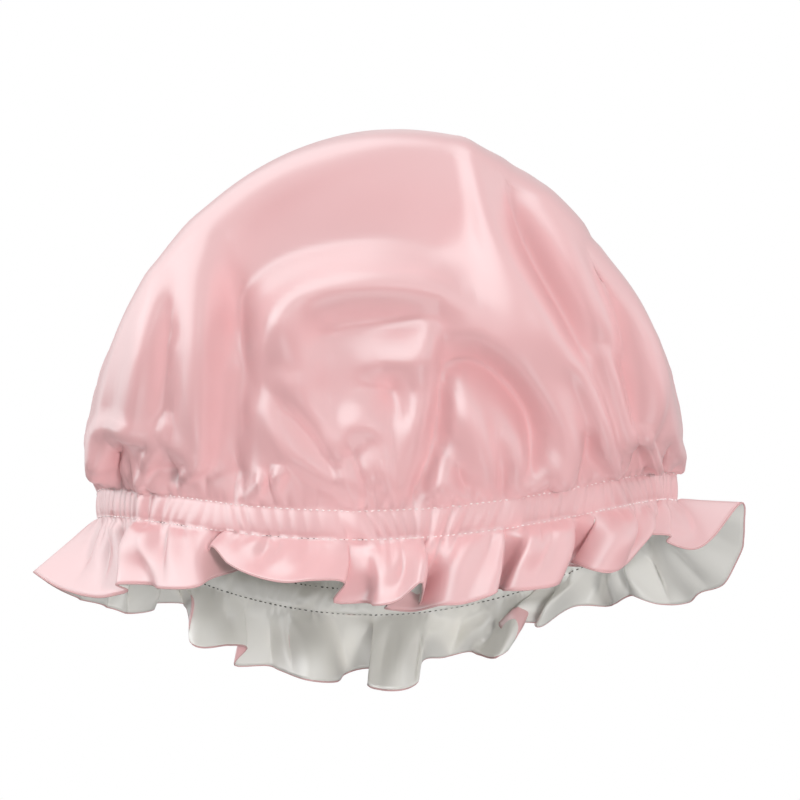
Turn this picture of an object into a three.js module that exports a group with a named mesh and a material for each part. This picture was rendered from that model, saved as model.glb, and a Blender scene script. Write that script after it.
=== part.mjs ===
// Silk bonnet: a reversible satin cap of two layers, gathered on an elastic band above a free ruffle.
// Millimetres, +Z up. The wearer looks along -Y, and +X is on the wearer's left.
// The origin is the centre of the head opening, on the middle of the elastic band.
import * as THREE from "three";

// Head opening, measured on the middle line of the elastic casing
const BAND_WIDTH = 229;
const BAND_DEPTH = 164;
const NAPE_DROP = 20;
const EAR_ARCH = 13;
const BAND_ROLL = 3.5;

// Crown, measured on the middle surface between the two layers. Its face is flatter than its back, and
// is rounded over a share of its depth at the rim.
const CROWN_WIDTH = 237;
const CROWN_DEPTH = 182;
const CROWN_TOP = 160.3;
const WIDEST_HEIGHT = 39;
const TOP_SHIFT = 3;
const CROWN_SHAPE = 4 / 3;
const FACE_SHAPE = 4.5;
const FACE_RIM = 0.4;
const FACE_FLATNESS = 1;
const BACK_FLATNESS = 0.25;
const FACE_FADE = 40;

// Main forms on the crown's face: their height above it, the half width that they spread over, and the
// points that they run through, to the side and up
const FACE_FORMS = [
  // ridge on the right-hand side
  { height: 3.5, spread: 7.5, line: [[-66, 108], [-68, 66], [-68, 34]] },
  // valley beside it
  { height: -4, spread: 7.5, line: [[-57, 92], [-58, 68], [-57, 30]] },
  // hollow under the rim
  { height: -2.5, spread: 11, line: [[-54, 98], [-40, 114], [-18, 119], [20, 119]] },
  // ridge from the top
  { height: 5, spread: 9, line: [[36, 132], [42, 113], [52, 97], [64, 78]] },
  // belly
  { height: 4.5, spread: 8, line: [[-44, 80], [-36, 93], [-22, 100], [16, 101]] },
  // belly's side
  { height: 3, spread: 8, line: [[-38, 83], [-32, 64]] },
];

// Casing that the elastic runs through, between its two stitch rows: the ease above and below the
// elastic, and the slope over which the layers come together at each row
const CASING_EASE = 0.6;
const CASING_SLOPE = 1.6;
const GATHERS = 32;
const GATHER_DEPTH = 0.5;

// Ruffle below the lower stitch row: points of its free edge, each from the turn round the head where its
// cloth leaves the row, in degrees. along is its shift along the band, out its reach from the band and drop
// its fall below the row.
const RUFFLE_OPENS = 0.65;
const RUFFLE_EDGE = [
  { turn: 0, along: 0, out: 29, drop: 9 },
  { turn: 6, along: 0, out: 29, drop: 18 },
  { turn: 11, along: 0, out: 27, drop: 27 },
  { turn: 20, along: -2, out: 19, drop: 30 },
  { turn: 27, along: -6, out: 9, drop: 27 },
  { turn: 32, along: -6, out: 1, drop: 21 },
  { turn: 37, along: -1, out: 6, drop: 22 },
  { turn: 42, along: 5, out: 9, drop: 21 },
  { turn: 48, along: 8, out: -4, drop: 22 },
  { turn: 54, along: 11, out: 0, drop: 16 },
  { turn: 58, along: 5, out: -8, drop: 21 },
  { turn: 62, along: 1, out: -16, drop: 25 },
  { turn: 66, along: 5, out: -4, drop: 24 },
  { turn: 70, along: 6, out: 9, drop: 22 },
  { turn: 75, along: 7, out: 9, drop: 22 },
  { turn: 79, along: 5, out: -2, drop: 22 },
  { turn: 83, along: 1, out: -15, drop: 29 },
  { turn: 87, along: 3, out: -18, drop: 30 },
  { turn: 91, along: 4, out: -12, drop: 28 },
  { turn: 94, along: -5, out: 0, drop: 25 },
  { turn: 98, along: -11, out: 9, drop: 24 },
  { turn: 101, along: -6, out: 6, drop: 26 },
  { turn: 104, along: -4, out: -8, drop: 28 },
  { turn: 109, along: 1, out: -15, drop: 28 },
  { turn: 114, along: -2, out: -3, drop: 26 },
  { turn: 118, along: 0, out: 7, drop: 26 },
  { turn: 122, along: -2, out: 3, drop: 22 },
  { turn: 127, along: 2, out: -7, drop: 22 },
  { turn: 132, along: 7, out: -6, drop: 23 },
  { turn: 137, along: -1, out: 4, drop: 16 },
  { turn: 142, along: -4, out: 8, drop: 16 },
  { turn: 148, along: -2, out: 4, drop: 20 },
  { turn: 155, along: 2, out: 2, drop: 25 },
  { turn: 163, along: -2, out: 7, drop: 27 },
  { turn: 173, along: -1, out: 15, drop: 26 },
  { turn: 183, along: 0, out: 25, drop: 21 },
  { turn: 192, along: 3, out: 17, drop: 27 },
  { turn: 200, along: 7, out: 10, drop: 30 },
  { turn: 207, along: 6, out: 6, drop: 29 },
  { turn: 212, along: -2, out: -2, drop: 26 },
  { turn: 216, along: 3, out: 8, drop: 24 },
  { turn: 223, along: 8, out: 12, drop: 24 },
  { turn: 230, along: 8, out: 11, drop: 22 },
  { turn: 235, along: 2, out: 2, drop: 18 },
  { turn: 238, along: -2, out: -2, drop: 14 },
  { turn: 241, along: 0, out: 15, drop: 8 },
  { turn: 244, along: 2, out: 22, drop: 10 },
  { turn: 248, along: 3, out: 25, drop: 14 },
  { turn: 253, along: 3, out: 25, drop: 15 },
  { turn: 258, along: 2, out: 20, drop: 14 },
  { turn: 262, along: 1, out: 8, drop: 17 },
  { turn: 265, along: -2, out: 2, drop: 23 },
  { turn: 269, along: -1, out: 13, drop: 24 },
  { turn: 273, along: -1, out: 18, drop: 21 },
  { turn: 276, along: -1, out: 17, drop: 18 },
  { turn: 279, along: -8, out: 3, drop: 25 },
  { turn: 282, along: -12, out: 5, drop: 27 },
  { turn: 286, along: -12, out: 13, drop: 26 },
  { turn: 291, along: -7, out: 13, drop: 24 },
  { turn: 294.5, along: -8, out: -1, drop: 23 },
  { turn: 298, along: -12, out: 7, drop: 24 },
  { turn: 303, along: -11, out: 10, drop: 25 },
  { turn: 307, along: -7, out: 6, drop: 23 },
  { turn: 310, along: -3, out: -4, drop: 20 },
  { turn: 313, along: -6, out: -2, drop: 20 },
  { turn: 317, along: -11, out: 7, drop: 22 },
  { turn: 322, along: -13, out: 8, drop: 24 },
  { turn: 328, along: -13, out: 6, drop: 22 },
  { turn: 334, along: -9, out: 2, drop: 17 },
  { turn: 339, along: -5, out: 0, drop: 15 },
  { turn: 343, along: -4, out: 3, drop: 17 },
  { turn: 347, along: -4, out: 10, drop: 18 },
  { turn: 351, along: -2, out: 18, drop: 13 },
  { turn: 355, along: 0, out: 27, drop: 4 },
];

// Materials' thicknesses and the room that separate layers keep
const CLOTH = 0.5;
const CLEARANCE = 0.3;
const THREAD = 0.3;
const ELASTIC_WIDTH = 6.4;
const ELASTIC_THICKNESS = 0.7;
const ELASTIC_LAP = 14;
const LAP_STITCH_TURNS = 5;
const LAP_STITCH_MARGIN = 1.2;

// Facets
const CROWN_COLUMNS = 84;
const CROWN_ROWS = 15;
const SKIRT_ROWS = 3;
const CASING_COLUMNS_PER_GATHER = 2;
const RUFFLE_COLUMNS_PER_POINT = 3;
const RUFFLE_ROWS = 3;
const ELASTIC_STEPS = 72;

const FULL_TURN = 2 * Math.PI;
const NAPE = Math.PI / 2;
const UP = new THREE.Vector3(0, 0, 1);
const { lerp, degToRad, clamp, smoothstep } = THREE.MathUtils;

// The elastic is one strip whose ends lap at the nape, with the lap's stitching on its outside.
const LAP_STEP = ELASTIC_THICKNESS + CLEARANCE;
const CASING_ROOM = ELASTIC_THICKNESS + LAP_STEP + 2 * (THREAD + CLEARANCE) + 2 * CLEARANCE;
const SHOULDER = ELASTIC_WIDTH / 2 + CASING_EASE;
const UPPER_ROW = SHOULDER + CASING_SLOPE;
const LOWER_ROW = -UPPER_ROW;
const PINCHED = CLEARANCE / 2;

const satinPink = () => new THREE.MeshStandardMaterial({ color: 0xe6bcbe, roughness: 0.35 });
const satinGrey = () => new THREE.MeshStandardMaterial({ color: 0xb9b4a9, roughness: 0.4 });
const threadPink = () => new THREE.MeshStandardMaterial({ color: 0xf3d9da, roughness: 0.6 });
const threadGrey = () => new THREE.MeshStandardMaterial({ color: 0x4a443c, roughness: 0.7 });
const elasticWhite = () => new THREE.MeshStandardMaterial({ color: 0xeeeae4, roughness: 0.85 });

// Middle line of the band: an oval that arches over the ears, drops towards the nape and leans a little
// to one side
function bandPoint(angle) {
  return new THREE.Vector3(
    (BAND_WIDTH / 2) * Math.cos(angle),
    (BAND_DEPTH / 2) * Math.sin(angle),
    EAR_ARCH * Math.cos(2 * angle) - NAPE_DROP * Math.sin(angle) + BAND_ROLL * Math.cos(angle),
  );
}

// Level direction out of the oval, square to it in plan
function bandOutward(angle) {
  return new THREE.Vector3(Math.cos(angle) / BAND_WIDTH, Math.sin(angle) / BAND_DEPTH, 0).normalize();
}

// Level direction along the oval
function bandAlong(angle) {
  const out = bandOutward(angle);
  return new THREE.Vector3(-out.y, out.x, 0);
}

// A point beside the band: a height above its middle line and a distance out from it
function besideBand(angle, height, out) {
  return bandPoint(angle).addScaledVector(UP, height).addScaledVector(bandOutward(angle), out);
}

// Depth of the crown as a share of its half depth, where narrow is its width as a share of the widest
function crownDepth(angle, narrow) {
  const side = Math.sin(angle);
  const round = Math.abs(side) * narrow;
  const flat = (1 - (1 - round ** 2) ** (FACE_SHAPE / 2)) ** (1 / FACE_SHAPE);
  const flatness = lerp(BACK_FLATNESS, FACE_FLATNESS, smoothstep(-side * narrow, -1, 1));
  return Math.sign(side) * lerp(round, flat, smoothstep(round, 0, FACE_RIM) * flatness);
}

// Middle surface of the crown without the forms on its face. climb is 0 at the upper stitch row, and 1 at
// the top.
function plainCrown(angle, climb) {
  const skirt = SKIRT_ROWS / CROWN_ROWS;
  const base = besideBand(angle, UPPER_ROW + CLEARANCE / 2, 0);
  const share = Math.min(climb / skirt, 1);
  const swell = Math.sin((share * Math.PI) / 2);
  const lean = Math.max((climb - skirt) / (1 - skirt), 0) * (Math.PI / 2);
  const rise = Math.sin(lean) ** CROWN_SHAPE;
  const narrow = Math.cos(lean);
  return new THREE.Vector3(
    lerp(base.x, (CROWN_WIDTH / 2) * Math.cos(angle), swell) * narrow + TOP_SHIFT * rise,
    lerp(base.y, (CROWN_DEPTH / 2) * crownDepth(angle, narrow), swell),
    lerp(base.z, WIDEST_HEIGHT, share) + (CROWN_TOP - WIDEST_HEIGHT) * rise,
  );
}

// Distance in the front view from a point to a line through the given points
function distanceToLine(point, line) {
  const here = new THREE.Vector2(point.x, point.z);
  const nearest = new THREE.Vector2();
  let least = Infinity;
  for (let n = 0; n + 1 < line.length; n += 1) {
    const start = new THREE.Vector2(...line[n]);
    const run = new THREE.Vector2(...line[n + 1]).sub(start);
    const share = clamp(here.clone().sub(start).dot(run) / run.lengthSq(), 0, 1);
    nearest.copy(start).addScaledVector(run, share);
    least = Math.min(least, nearest.distanceTo(here));
  }
  return least;
}

// Height of the forms on the crown's face, gone behind its outline
function faceRelief(point) {
  const inFront = smoothstep(-point.y, -FACE_FADE / 2, FACE_FADE / 2);
  let relief = 0;
  for (const { height, spread, line } of FACE_FORMS) {
    relief += height * Math.exp(-((distanceToLine(point, line) / spread) ** 2));
  }
  return relief * inFront;
}

// Middle surface of the crown
function crownPoint(angle, climb) {
  const point = plainCrown(angle, climb);
  const step = 1 / CROWN_ROWS;
  const normal = outwardNormal(plainCrown, angle, climb, FULL_TURN / CROWN_COLUMNS, step);
  return point.addScaledVector(normal, faceRelief(point));
}

// Smooth curve through four values, between the second and the third
function smoothBetween(before, start, end, after, share) {
  const leave = (end - before) / 2;
  const arrive = (after - start) / 2;
  const rest = 1 - share;
  return (
    start * (1 + 2 * share) * rest ** 2 +
    leave * share * rest ** 2 +
    end * share ** 2 * (3 - 2 * share) -
    arrive * share ** 2 * rest
  );
}

// The ruffle's edge at a place counted in its points: its angle round the head, shift, reach and drop
function ruffleEdge(place) {
  const count = RUFFLE_EDGE.length;
  const first = Math.floor(place);
  const near = [-1, 0, 1, 2].map((step) => RUFFLE_EDGE[(first + step + count) % count]);
  const between = (name) => smoothBetween(...near.map((edge) => edge[name]), place - first);
  const span = (near[2].turn - near[1].turn + 360) % 360;
  return {
    angle: degToRad(near[1].turn + span * (place - first)),
    along: between("along"),
    out: between("out"),
    drop: between("drop"),
  };
}

// Middle surface of the ruffle. fall is 0 at the lower stitch row, and 1 at the free edge.
function rufflePoint(place, fall) {
  const { angle, along, out, drop } = ruffleEdge(place);
  const open = fall ** RUFFLE_OPENS;
  const point = besideBand(angle, LOWER_ROW - CLEARANCE / 2 - drop * fall, out * open);
  return point.addScaledVector(bandAlong(angle), along * open);
}

// Outward normal of a surface point(across, along) by small steps
function outwardNormal(point, across, along, acrossStep, alongStep) {
  const low = Math.max(along - alongStep, 0);
  const high = Math.min(along + alongStep, 1);
  const side = point(across + acrossStep, along).sub(point(across - acrossStep, along));
  const rise = point(across, high).sub(point(across, low));
  return side.cross(rise).normalize();
}

// A closed ring: the section's points are joined round the section and round the ring.
// The section's second half is split the other way, so that the two faces of a layer stay parallel.
function ringGeometry(columns, sectionCount, point) {
  const positions = [];
  const index = [];
  for (let i = 0; i < columns; i += 1) {
    for (let k = 0; k < sectionCount; k += 1) positions.push(...point(i, k).toArray());
  }
  for (let i = 0; i < columns; i += 1) {
    for (let k = 0; k < sectionCount; k += 1) {
      const a = i * sectionCount + k;
      const b = ((i + 1) % columns) * sectionCount + k;
      const c = ((i + 1) % columns) * sectionCount + ((k + 1) % sectionCount);
      const d = i * sectionCount + ((k + 1) % sectionCount);
      if (k < sectionCount / 2) index.push(a, b, c, a, c, d);
      else index.push(a, b, d, b, c, d);
    }
  }
  return indexedGeometry(positions, index);
}

// A domed shell: face(side, i, j) gives the outer (1) and inner (0) face from the rim, row 0, to the pole
function domeGeometry(columns, rows, face) {
  const positions = [];
  const index = [];
  const vertex = (side, i, j) => (side * rows + j) * columns + (i % columns);
  for (const side of [0, 1]) {
    for (let j = 0; j < rows; j += 1) {
      for (let i = 0; i < columns; i += 1) positions.push(...face(side, i, j).toArray());
    }
  }
  const innerPole = positions.length / 3;
  const outerPole = innerPole + 1;
  positions.push(...face(0, 0, rows).toArray(), ...face(1, 0, rows).toArray());
  for (let i = 0; i < columns; i += 1) {
    for (let j = 0; j + 1 < rows; j += 1) {
      index.push(vertex(1, i, j), vertex(1, i + 1, j), vertex(1, i + 1, j + 1));
      index.push(vertex(1, i, j), vertex(1, i + 1, j + 1), vertex(1, i, j + 1));
      index.push(vertex(0, i, j), vertex(0, i + 1, j + 1), vertex(0, i + 1, j));
      index.push(vertex(0, i, j), vertex(0, i, j + 1), vertex(0, i + 1, j + 1));
    }
    index.push(vertex(1, i, rows - 1), vertex(1, i + 1, rows - 1), outerPole);
    index.push(vertex(0, i, rows - 1), innerPole, vertex(0, i + 1, rows - 1));
    index.push(vertex(0, i, 0), vertex(0, i + 1, 0), vertex(1, i + 1, 0));
    index.push(vertex(0, i, 0), vertex(1, i + 1, 0), vertex(1, i, 0));
  }
  return indexedGeometry(positions, index);
}

function indexedGeometry(positions, index) {
  const geometry = new THREE.BufferGeometry();
  geometry.setAttribute("position", new THREE.Float32BufferAttribute(positions, 3));
  geometry.setIndex(index);
  geometry.computeVertexNormals();
  return geometry;
}

function named(name, geometry, material) {
  const mesh = new THREE.Mesh(geometry, material);
  mesh.name = name;
  return mesh;
}

// Crown shell of one layer through the given rows. near and far are its faces' offsets from the
// middle surface.
function crown(rowList, near, far) {
  const columns = CROWN_COLUMNS;
  const rows = rowList.length - 1;
  const face = (side, i, j) => {
    const angle = (i / columns) * FULL_TURN;
    const climb = rowList[j] / CROWN_ROWS;
    const offset = side ? far : near;
    if (j === rows) return crownPoint(0, 1).addScaledVector(UP, offset);
    const normal = outwardNormal(crownPoint, angle, climb, FULL_TURN / columns, 1 / CROWN_ROWS);
    return crownPoint(angle, climb).addScaledVector(j ? normal : bandOutward(angle), offset);
  };
  return domeGeometry(columns, rows, face);
}

const crownRows = Array.from({ length: CROWN_ROWS + 1 }, (_, j) => j);

// Heights of the casing's rows, from the lower stitch row to the upper one
const casingHeights = [LOWER_ROW + CLEARANCE / 2, -SHOULDER, SHOULDER, UPPER_ROW - CLEARANCE / 2];
const casingColumns = GATHERS * CASING_COLUMNS_PER_GATHER;
const casingAngle = (i) => (i / casingColumns) * FULL_TURN;

// Distance from the middle surface to the inner face of a layer: pinched at the stitch rows and
// puffed out round the elastic between them. layer is 1 for the outside and -1 for the lining.
function casingOffset(layer, i, row) {
  const pinchedRow = row === 0 || row === casingHeights.length - 1;
  if (pinchedRow) return layer * PINCHED;
  const wave = Math.cos((FULL_TURN * i) / CASING_COLUMNS_PER_GATHER);
  return layer * (CASING_ROOM / 2 + GATHER_DEPTH * (1 + layer * wave));
}

function casing(layer) {
  const rows = casingHeights.length;
  const point = (i, k) => {
    const onOuterFace = k < rows;
    const row = onOuterFace ? k : 2 * rows - 1 - k;
    const awayFace = onOuterFace === layer > 0;
    const offset = casingOffset(layer, i, row) + (awayFace ? layer * CLOTH : 0);
    return besideBand(casingAngle(i), casingHeights[row], offset);
  };
  return ringGeometry(casingColumns, 2 * rows, point);
}

const ruffleColumns = RUFFLE_EDGE.length * RUFFLE_COLUMNS_PER_POINT;
const rufflePlace = (i) => i / RUFFLE_COLUMNS_PER_POINT;

function ruffleNormal(place, fall) {
  if (fall === 0) return bandOutward(ruffleEdge(place).angle);
  const step = 0.5 / RUFFLE_COLUMNS_PER_POINT;
  const wrapped = (across, along) => rufflePoint(across + RUFFLE_EDGE.length, along);
  return outwardNormal(wrapped, place, fall, step, 1 / RUFFLE_ROWS).negate();
}

// The layers part at the free edge to take the seam between them.
function ruffleGap(fall) {
  const atEdge = fall === 1;
  return atEdge ? THREAD / 2 + CLEARANCE : PINCHED;
}

function ruffle(layer) {
  const rows = RUFFLE_ROWS + 1;
  const point = (i, k) => {
    const onOuterFace = k < rows;
    const row = onOuterFace ? rows - 1 - k : k - rows;
    const fall = row / RUFFLE_ROWS;
    const awayFace = onOuterFace === layer > 0;
    const offset = layer * (ruffleGap(fall) + (awayFace ? CLOTH : 0));
    const place = rufflePlace(i);
    return rufflePoint(place, fall).addScaledVector(ruffleNormal(place, fall), offset);
  };
  return ringGeometry(ruffleColumns, 2 * rows, point);
}

// Corner of a thread's square section, in the directions out of and up along the cloth
const SECTION = [
  [1, 0],
  [0, 1],
  [-1, 0],
  [0, -1],
];

// Thread of one stitch row, lying on the outside (1) or on the lining's side (-1) of the cloth
function stitchRow(layer, height) {
  const offset = layer * (PINCHED + CLOTH + CLEARANCE + THREAD / 2);
  const point = (i, k) => {
    const [out, up] = SECTION[k];
    return besideBand(casingAngle(i), height + (up * THREAD) / 2, offset + (out * THREAD) / 2);
  };
  return ringGeometry(casingColumns, SECTION.length, point);
}

// Seam that closes the two layers along the ruffle's free edge
function edgeSeam() {
  const point = (i, k) => {
    const [out, up] = SECTION[k];
    const place = rufflePlace(i);
    const edge = rufflePoint(place, 1);
    const along = edge.clone().sub(rufflePoint(place, 1 - 1 / RUFFLE_ROWS)).normalize();
    edge.addScaledVector(ruffleNormal(place, 1), (out * THREAD) / 2);
    return edge.addScaledVector(along, (-up * THREAD) / 2 - THREAD / 2);
  };
  return ringGeometry(ruffleColumns, SECTION.length, point);
}

// Angle that a length along the band takes up at the nape, where the oval is flattest
const napeAngle = (length) => length / (BAND_WIDTH / 2);

// Corner of the elastic strip's section: out of the strip's own line, and up
const STRIP_CORNERS = [
  [1, -1],
  [1, 1],
  [-1, 1],
  [-1, -1],
];

// Solid along an open line of four-cornered sections, with a flat cap at each end
function stripGeometry(steps, point) {
  const corners = STRIP_CORNERS.length;
  const positions = [];
  const index = [];
  for (let i = 0; i <= steps; i += 1) {
    for (let k = 0; k < corners; k += 1) positions.push(...point(i, k).toArray());
  }
  for (let i = 0; i < steps; i += 1) {
    for (let k = 0; k < corners; k += 1) {
      const a = i * corners + k;
      const d = i * corners + ((k + 1) % corners);
      index.push(a, a + corners, d + corners, a, d + corners, d);
    }
  }
  const last = steps * corners;
  index.push(0, 1, 2, 0, 2, 3);
  index.push(last, last + 2, last + 1, last, last + 3, last + 2);
  return indexedGeometry(positions, index);
}

// The elastic goes once round from the nape and laps over its own start. The line moves out by one
// lap step on the way, so that the ends lie on each other.
function elasticBand() {
  const lap = napeAngle(ELASTIC_LAP);
  const start = NAPE - lap / 2;
  const turn = FULL_TURN + lap;
  const point = (i, k) => {
    const [out, up] = STRIP_CORNERS[k];
    const share = i / ELASTIC_STEPS;
    const line = lerp(-LAP_STEP / 2, LAP_STEP / 2, clamp((share * turn - lap) / (turn - 2 * lap), 0, 1));
    return besideBand(start + share * turn, (up * ELASTIC_WIDTH) / 2, line + (out * ELASTIC_THICKNESS) / 2);
  };
  return stripGeometry(ELASTIC_STEPS, point);
}

// Zigzag of thread over the lap, on the outside of the elastic. Its sections all stand across the band
// and have one shape, tall enough for the thread's slant, so that each stitch has flat sides and mitred
// ends.
function lapStitch() {
  const reach = ELASTIC_WIDTH / 2 - LAP_STITCH_MARGIN;
  const out = LAP_STEP / 2 + ELASTIC_THICKNESS / 2 + CLEARANCE + THREAD / 2;
  const steps = 2 * LAP_STITCH_TURNS;
  const stride = (ELASTIC_LAP - 2 * LAP_STITCH_MARGIN) / steps;
  const tall = (THREAD * Math.hypot(stride, 2 * reach)) / stride;
  const middle = besideBand(NAPE, 0, out);
  const upward = besideBand(NAPE, 1, out).sub(middle);
  const outward = besideBand(NAPE, 0, out + 1).sub(middle);
  const point = (i, k) => {
    const [outShare, upShare] = SECTION[k];
    const angle = NAPE + napeAngle((i - steps / 2) * stride);
    return besideBand(angle, i % 2 ? reach : -reach, out)
      .addScaledVector(outward, (outShare * THREAD) / 2)
      .addScaledVector(upward, (upShare * tall) / 2);
  };
  return stripGeometry(steps, point);
}

const bonnet = new THREE.Group();
bonnet.add(
  named("outer_crown", crown(crownRows, PINCHED, PINCHED + CLOTH), satinPink()),
  named("outer_casing", casing(1), satinPink()),
  named("outer_ruffle", ruffle(1), satinPink()),
  named("lining_crown", crown(crownRows, -PINCHED - CLOTH, -PINCHED), satinGrey()),
  named("lining_casing", casing(-1), satinGrey()),
  named("lining_ruffle", ruffle(-1), satinGrey()),
  named("elastic_band", elasticBand(), elasticWhite()),
  named("elastic_lap_stitch", lapStitch(), elasticWhite()),
  named("upper_stitch_row_outer", stitchRow(1, UPPER_ROW), threadPink()),
  named("lower_stitch_row_outer", stitchRow(1, LOWER_ROW), threadPink()),
  named("upper_stitch_row_lining", stitchRow(-1, UPPER_ROW), threadGrey()),
  named("lower_stitch_row_lining", stitchRow(-1, LOWER_ROW), threadGrey()),
  named("edge_seam", edgeSeam(), threadPink()),
);

export default bonnet;
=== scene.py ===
"""Silk bonnet: a reversible satin cap, gathered on an elastic band above a free ruffle.

Each layer is a flat disc of satin, gathered into shape: a puffed crown, a casing with the elastic in it,
and a ruffle. The forms on the crown's face are drawn at places of the photograph, and its lower folds come
from a cloth simulation that draws its rim in on the elastic. The pleats and the ruffle are worked out from
a few lists of places. The stitches, the elastic and the turned edge are separate pieces.
"""

import math

import bmesh
import bpy
import numpy as np
from mathutils import Matrix, Vector


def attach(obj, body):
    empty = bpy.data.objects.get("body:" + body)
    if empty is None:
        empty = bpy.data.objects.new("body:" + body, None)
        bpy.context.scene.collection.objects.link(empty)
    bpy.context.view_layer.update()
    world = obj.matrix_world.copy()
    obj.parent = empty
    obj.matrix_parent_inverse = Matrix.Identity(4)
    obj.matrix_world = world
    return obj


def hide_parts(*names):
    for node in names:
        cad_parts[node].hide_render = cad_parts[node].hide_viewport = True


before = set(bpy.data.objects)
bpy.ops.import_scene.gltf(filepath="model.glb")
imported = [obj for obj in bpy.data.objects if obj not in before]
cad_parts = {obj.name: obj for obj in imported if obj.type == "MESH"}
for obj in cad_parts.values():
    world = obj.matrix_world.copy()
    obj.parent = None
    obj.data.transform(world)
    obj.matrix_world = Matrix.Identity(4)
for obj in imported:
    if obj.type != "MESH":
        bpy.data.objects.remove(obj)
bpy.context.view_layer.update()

MM = 0.001
FULL_TURN = 2 * math.pi
UP = np.array([0.0, 0.0, 1.0])

# The photograph: 800 pixels square, taken level with the crown
PHOTO_PIXELS = 800
PIXELS_PER_M = 2500
CAMERA_DISTANCE = 1.2
CAMERA_X = 5.6 * MM
CAMERA_Z = 53.4 * MM
SENSOR_MM = 36

# Head opening, on the middle line of the casing
BAND_HALF_WIDTH = 114.5 * MM
BAND_HALF_DEPTH = 82 * MM
NAPE_DROP = 20 * MM
EAR_ARCH = 13 * MM
BAND_ROLL = 3.5 * MM
NAPE = math.pi / 2

# Crown. Its face is flatter than its back: exponent of the face low down and at the top, share of its depth
# over which the flatness sets in, and how fast the face turns into the back
CROWN_HALF_WIDTH = 118.5 * MM
CROWN_HALF_DEPTH = 91 * MM
CROWN_TOP = 160.8 * MM
WIDEST_HEIGHT = 39 * MM
CROWN_SHAPE = 4 / 3
FACE_SHAPE = 7
TOP_FACE_SHAPE = 12
FACE_RIM = 0.4
FACE_ENDS = 3
TOP_SHIFT = 3 * MM
SIDE_LEAN = 2.2 * MM
SKIRT_SHARE = 0.16
FRONT_SKIRT_SHARE = 0.45

# Steps along the crown's outline, step in turn and climb that gives the way it faces, and the climb from
# which it faces up
OUTLINE_STEPS = 400
DOME_STEP = 0.004
TOP_FROM = 0.9
TOP_BLEND = 0.08

# The flat cloth, out from its centre: crown, casing and ruffle
CROWN_FLAT = 190 * MM
CASING_FLAT = 10.8 * MM
RUFFLE_FLAT = 31 * MM
UPPER_ROW_FLAT = CROWN_FLAT
LOWER_ROW_FLAT = CROWN_FLAT + CASING_FLAT
EDGE_FLAT = LOWER_ROW_FLAT + RUFFLE_FLAT

# Cloth and elastic
SATIN_THICKNESS = 0.25 * MM
LAYER_GAP = 0.1 * MM
CROWN_GAP = 0.5 * MM
CROWN_GAP_FADE = 20 * MM
ELASTIC_WIDTH = 6.4 * MM
ELASTIC_THICKNESS = 0.7 * MM
ELASTIC_ROOM = 0.6 * MM
ELASTIC_STEPS = 360
ELASTIC_CORDS = 9
STEPS_PER_CORD = 4
CORD_HEIGHT = 0.06 * MM
ELASTIC_LAP = 14 * MM
LAP_CLEARANCE = 0.2 * MM
LAP_ROOM = 0.6 * MM
LAP_ROOM_TURN = 0.12
LAP_SHARE = 0.08
LAP_BLEND = 0.05

# Threads: how far they stand out of the cloth and dip into it, and their least width, in radii
THREAD_RADIUS = 0.3 * MM
THREAD_SIDES = 6
THREAD_STANDS_OUT = 0.6
THREAD_DIPS = 1.3
THREAD_LEAST = 0.4
STITCHES_PER_ROW = 310
STITCH_STEPS = 10
STITCH_POINTEDNESS = 2.5
LAP_STITCHES = 10
LAP_STITCH_MARGIN = 1.2 * MM
EDGE_RADIUS = 0.42 * MM

# Ruffle: reach in mm past which its edge is a crest, at the front and at the back, and how much deeper than
# drawn its folds are; the turns in degrees between which it is the back; waves of the edge that aren't
# folds; how fast the folds open; and how the cloth between two folds is tucked behind them
RUFFLE_MIDDLE = 12
RUFFLE_VALLEY_DEPTH = 1.9
BACK_MIDDLE = 4
BACK_FRONT_DEPTH = 2.4
BACK_GAP_DEPTH = 1.5
BACK_FROM = 20
BACK_TO = 170
EDGE_STEPS = 720
EDGE_SLOW_WAVES = 6
RUFFLE_OPENS = 0.65
TUCK_WIDTH = 16
TUCK_FROM = 4
TUCK_SHARE = 0.25

# Columns of the cloth's mesh round the head, sides of the edge's tube, and radius on which tubes are rolled
COLUMNS = 768
FACE_COLUMNS = 384
TOP_COLUMNS = 96
EDGE_SIDES = 6
TUBE_RING = 3

# Distances within which points of a mesh are joined, and lengths that stand in for none
RING_MERGE = 1e-6
TUBE_MERGE = 1e-5
DISC_MERGE = 0.05 * MM
LEAST_LENGTH = 1e-12
LEAST_GAP = 1e-6


def ease(x):
    x = np.clip(x, 0, 1)
    return x * x * (3 - 2 * x)


def hill(x, centre, width):
    return np.exp(-(((x - centre) / width) ** 2))


def mix(a, b, share):
    return a + (b - a) * share


def unit(vectors):
    return vectors / np.maximum(np.linalg.norm(vectors, axis=-1, keepdims=True), LEAST_LENGTH)


def photo_point(px, py, depth):
    """The point at a depth (along Y) that shows at a pixel of the photograph."""
    metres = (CAMERA_DISTANCE + depth) / CAMERA_DISTANCE / PIXELS_PER_M
    x = CAMERA_X + (px - PHOTO_PIXELS / 2) * metres
    z = CAMERA_Z - (py - PHOTO_PIXELS / 2) * metres
    return np.stack([x, depth, z], axis=-1)


def photo_pixel(point):
    """The pixel of the photograph where a point shows."""
    metres = (CAMERA_DISTANCE + point[..., 1]) / CAMERA_DISTANCE / PIXELS_PER_M
    px = PHOTO_PIXELS / 2 + (point[..., 0] - CAMERA_X) / metres
    py = PHOTO_PIXELS / 2 - (point[..., 2] - CAMERA_Z) / metres
    return px, py


def band(turn):
    """Middle line of the casing at a turn round the head: 0 at the right ear, a quarter at the nape."""
    x = BAND_HALF_WIDTH * np.cos(turn)
    y = BAND_HALF_DEPTH * np.sin(turn)
    z = EAR_ARCH * np.cos(2 * turn) - NAPE_DROP * np.sin(turn) + BAND_ROLL * np.cos(turn)
    return np.stack([x, y, z], axis=-1)


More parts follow.
